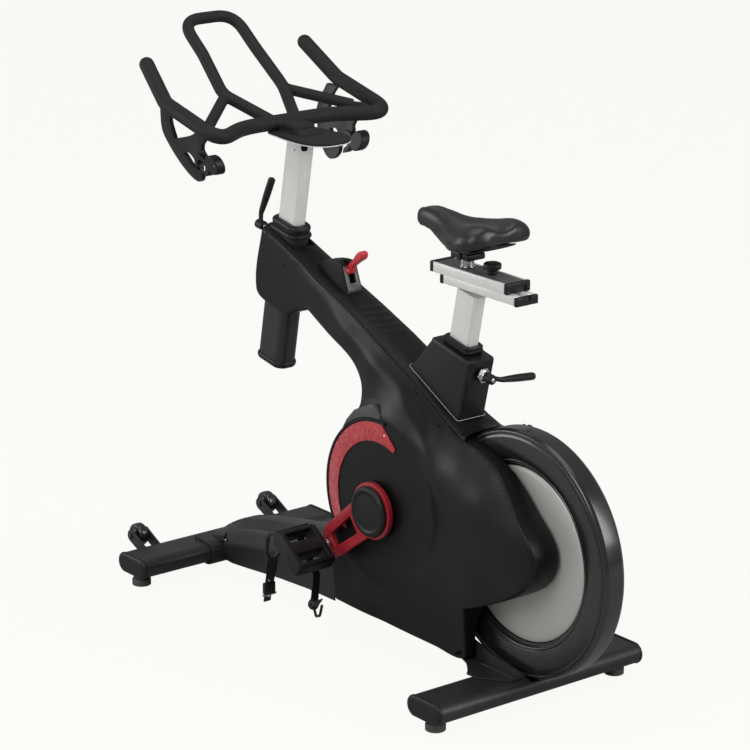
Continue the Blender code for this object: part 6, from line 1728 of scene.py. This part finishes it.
def toe_cage(at, axle_x, axle_z):
    """Wire hoop, bridge, hanging tail, strap and its loop."""
    bridge_bar = box(at(0.0470, PEDAL_IN + 0.004, -0.007), at(0.0545, PEDAL_OUT - 0.004, 0.007),
                     0.0018)
    turned_about_y(bridge_bar, PEDAL_TILT, axle_x, axle_z)
    hoop = tube(fillet_path([at(*point) for point in HOOP_PATH], 0.03), 0.0042, 5)
    tail_path = fillet_path([at(*point) for point in TAIL_PATH], 0.05, 5)
    last = len(tail_path) - 1
    tail = ribbon(tail_path, [0.0135 - 0.0050 * i / last for i in range(last + 1)], 0.0015)
    strap_path = fillet_path([at(*point) for point in STRAP_PATH], 0.03, 8)
    strap = ribbon(strap_path, [0.0085] * len(strap_path), 0.0013)
    strap_loop = tube(fillet_path([at(*point) for point in STRAP_LOOP_PATH], 0.012, 6), 0.0028, 5)
    fold = ball(at(-0.020, PEDAL_MID - 0.008, -0.112), 0.0125, (0.9, 0.9, 0.95))
    return joined(hoop, bridge_bar, tail, strap, strap_loop, fold)


def pedal(side, label):
    """Builds a pedal on the left, mirrored afterwards when side is -1."""
    angle = ARM_ANGLE if side > 0 else ARM_ANGLE + math.pi
    axle_x, axle_z = CRANK_ARM * math.cos(angle), CRANK_Z + CRANK_ARM * math.sin(angle)

    def at(x, y, z):
        return (axle_x + x, y, axle_z + z)

    deck = pedal_deck(axle_x, axle_z)
    cage = toe_cage(at, axle_x, axle_z)
    buckle = softened(box(at(0.114, PEDAL_MID - 0.0135, -0.128),
                          at(0.1235, PEDAL_MID + 0.0135, -0.104)), 0.0018, 2)
    spindle = joined(
        cylinder(at(0, ARM_LOW + 0.0005, 0), at(0, PEDAL_IN + 0.004, 0), 0.0070, 40),
        cylinder(at(0, 0.1078, 0), at(0, 0.1140, 0), 0.0098, 6, bevel=0.0006))
    pin = joined(
        cylinder(at(0.1180, PEDAL_MID - 0.0165, -0.130), at(0.1180, PEDAL_MID + 0.0165, -0.130),
                 0.0026, 20, bevel=0.0005),
        softened(box(at(0.1165, PEDAL_MID - 0.0045, -0.136),
                     at(0.1275, PEDAL_MID + 0.0045, -0.124)), 0.0010, 2),
        ball(at(0.1125, PEDAL_MID + 0.004, -0.098), 0.0028, (0.6, 1, 1)))
    pedal_name, cage_name = f"pedal_{label}", f"toe_cage_{label}"
    for name, item, finish, replaces in (
            (f"{pedal_name}_deck", deck, "moulded_black", pedal_name),
            (f"{cage_name}_strap", cage, "moulded_black", cage_name),
            (f"{pedal_name}_spindle", spindle, "machined_steel", None),
            (f"{cage_name}_buckle", buckle, "moulded_black", None),
            (f"{cage_name}_pin", pin, "machined_steel", None)):
        if side < 0:
            item = mirrored_y(item, keep=False)
        piece(name, item, finish, body=pedal_name, replaces=replaces, sharp=40)


for side, label in SIDES:
    pedal(side, label)

# ================================================================ flywheel
# Radius, y: the rim's left half, then the thin web and hub.
RIM_HALF = [(0.1740, 0.0150), (0.1775, 0.0150), (0.1790, 0.0195), (0.1815, WHEEL_HALF - 0.0040),
            (0.1850, WHEEL_HALF - 0.0028), (0.1862, WHEEL_HALF - 0.0042),
            (0.1874, WHEEL_HALF - 0.0028), (0.1960, WHEEL_HALF - 0.0010), (0.2080, WHEEL_HALF),
            (0.2290, WHEEL_HALF - 0.0002), (0.2336, WHEEL_HALF - 0.0016),
            (0.2346, WHEEL_HALF - 0.0036), (0.2360, WHEEL_HALF - 0.0036),
            (0.2370, WHEEL_HALF - 0.0018), (0.2405, WHEEL_HALF - 0.0026),
            (0.2424, WHEEL_HALF - 0.0046), (0.2434, WHEEL_HALF - 0.0072),
            (WHEEL_R, WHEEL_HALF - 0.0098)]
HUB_HALF = [(0.0103, 0.0085), (0.030, 0.0085), (0.032, 0.0055), (0.1735, 0.0055)]
piece("flywheel_rim", turned(mirrored_run(HUB_HALF + RIM_HALF), (WHEEL_X, 0, WHEEL_Z),
                             steps=256, ring=True, ease=0.0005),
      "wheel_black", body="flywheel", replaces="flywheel", sharp=32)
DOME = [(0.0330, 0.0075), (0.1728, 0.0062), (0.1728, 0.0110), (0.1722, 0.0138),
        (0.1700, 0.0156), (0.1640, 0.0172), (0.1520, 0.0190), (0.1300, 0.0208),
        (0.1000, 0.0222), (0.0700, 0.0231), (0.0450, 0.0235), (0.0330, 0.0235)]
both("flywheel_dome", turned(DOME, (WHEEL_X, 0, WHEEL_Z), steps=200, ring=True, ease=0.0006),
     "disc_silver", body="flywheel", replaces="flywheel_disc_{}")

# ================================================================ CAD solids that stay
# Name, finish, bevel width.
KEPT = [("main_frame", "frame_paint", 0.0012),
        ("bottom_bracket_cartridge", "machined_steel", 0.0003),
        ("flywheel_bearing_left", "machined_steel", 0.0003),
        ("flywheel_bearing_right", "machined_steel", 0.0003),
        ("drive_belt", "belt_rubber", 0.0004), ("flywheel_axle", "machined_steel", 0.0004),
        ("brake_caliper", "housing_grey", 0.0008)]
for name, finish, width in KEPT:
    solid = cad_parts[name]
    solid.data.materials.clear()
    solid.data.materials.append(FINISHES[finish][0])
    modified(solid, "WELD", merge_threshold=2e-6)
    modified(solid, "BEVEL", width=width, segments=2, limit_method="ANGLE",
             angle_limit=math.radians(32), use_clamp_overlap=True)

# ================================================================ stage
PALE = (0.975, 0.985, 0.955, 1.0)


def split_by_ray(tree, camera_shader, other_shader, output):
    """Sends one shader to camera rays and another to all other rays."""
    rays = tree.nodes.new("ShaderNodeLightPath")
    mix = shader_node(tree, "ShaderNodeMixShader", {
        "Fac": rays.outputs["Is Camera Ray"], 1: other_shader, 2: camera_shader})
    tree.links.new(mix.outputs["Shader"], output)


def studio_world():
    """Pale to the camera, a weak white fill to the surfaces."""
    world = bpy.data.worlds.new("studio")
    SCENE.world = world
    world.use_nodes = True
    tree = world.node_tree
    tree.nodes.clear()
    seen = shader_node(tree, "ShaderNodeBackground", {"Color": PALE, "Strength": 1.0})
    fill = shader_node(tree, "ShaderNodeBackground", {
        "Color": (1.0, 1.0, 1.0, 1.0), "Strength": 0.30})
    out = tree.nodes.new("ShaderNodeOutputWorld")
    split_by_ray(tree, seen.outputs["Background"], fill.outputs["Background"],
                 out.inputs["Surface"])


def floor_material():
    """A pale glow with faint shadows to the camera, plain grey to the surfaces."""
    material = bpy.data.materials.new("mat_floor_pale")
    material.use_nodes = True
    tree = material.node_tree
    tree.nodes.clear()
    glow = shader_node(tree, "ShaderNodeEmission", {"Color": PALE, "Strength": 0.955})
    sheet = shader_node(tree, "ShaderNodeBsdfDiffuse", {"Color": (0.035, 0.035, 0.035, 1.0)})
    lit = shader_node(tree, "ShaderNodeAddShader", {
        0: glow.outputs["Emission"], 1: sheet.outputs["BSDF"]})
    plain = shader_node(tree, "ShaderNodeBsdfDiffuse", {"Color": (0.45, 0.45, 0.45, 1.0)})
    out = tree.nodes.new("ShaderNodeOutputMaterial")
    split_by_ray(tree, lit.outputs["Shader"], plain.outputs["BSDF"], out.inputs["Surface"])
    return material


def area_light(name, place, target, size, energy, size_y=None):
    data = bpy.data.lights.new(name, "AREA")
    data.energy = energy
    data.shape = "RECTANGLE"
    data.size = size
    data.size_y = size_y or size
    made = bpy.data.objects.new(name, data)
    SCENE.collection.objects.link(made)
    made.location = place
    aim = Vector(target) - Vector(place)
    made.rotation_euler = aim.to_track_quat("-Z", "Y").to_euler()


def add_camera():
    """Looks at the bike from behind, on its left and above."""
    place = (-4.61175, 3.6932, 2.3481)
    right = Vector((-0.6205, -0.7842, 0.0029)).normalized()
    upward = Vector((0.2295, -0.1781, 0.9569)).normalized()
    ahead = Vector((0.7498, -0.5944, -0.2905)).normalized()
    data = bpy.data.cameras.new("camera")
    data.lens = 149.4138
    data.sensor_width = 36.0
    camera = bpy.data.objects.new("camera", data)
    SCENE.collection.objects.link(camera)
    rows = [(right[k], upward[k], -ahead[k], place[k]) for k in range(3)]
    camera.matrix_world = Matrix((*rows, (0, 0, 0, 1)))
    SCENE.camera = camera


studio_world()
floor_work = bmesh.new()
bmesh.ops.create_grid(floor_work, x_segments=2, y_segments=2, size=14.0)
floor = new_object("floor", floor_work)
floor.location = (0, 0, -0.0002)
floor.data.materials.append(floor_material())
area_light("key", place=(-1.2, 3.4, 3.0), target=(0, 0, 0.5), size=2.4, energy=70)
area_light("top", place=(0.2, 0.2, 3.8), target=(0, 0, 0.5), size=2.6, energy=34)
area_light("rim", place=(-3.4, -1.6, 2.2), target=(-0.3, 0, 0.5), size=1.6, energy=75, size_y=2.4)
area_light("front", place=(2.8, 2.4, 1.4), target=(0.3, 0, 0.5), size=1.8, energy=35)
add_camera()
SCENE.view_settings.view_transform = "Standard"
SCENE.view_settings.look = "None"
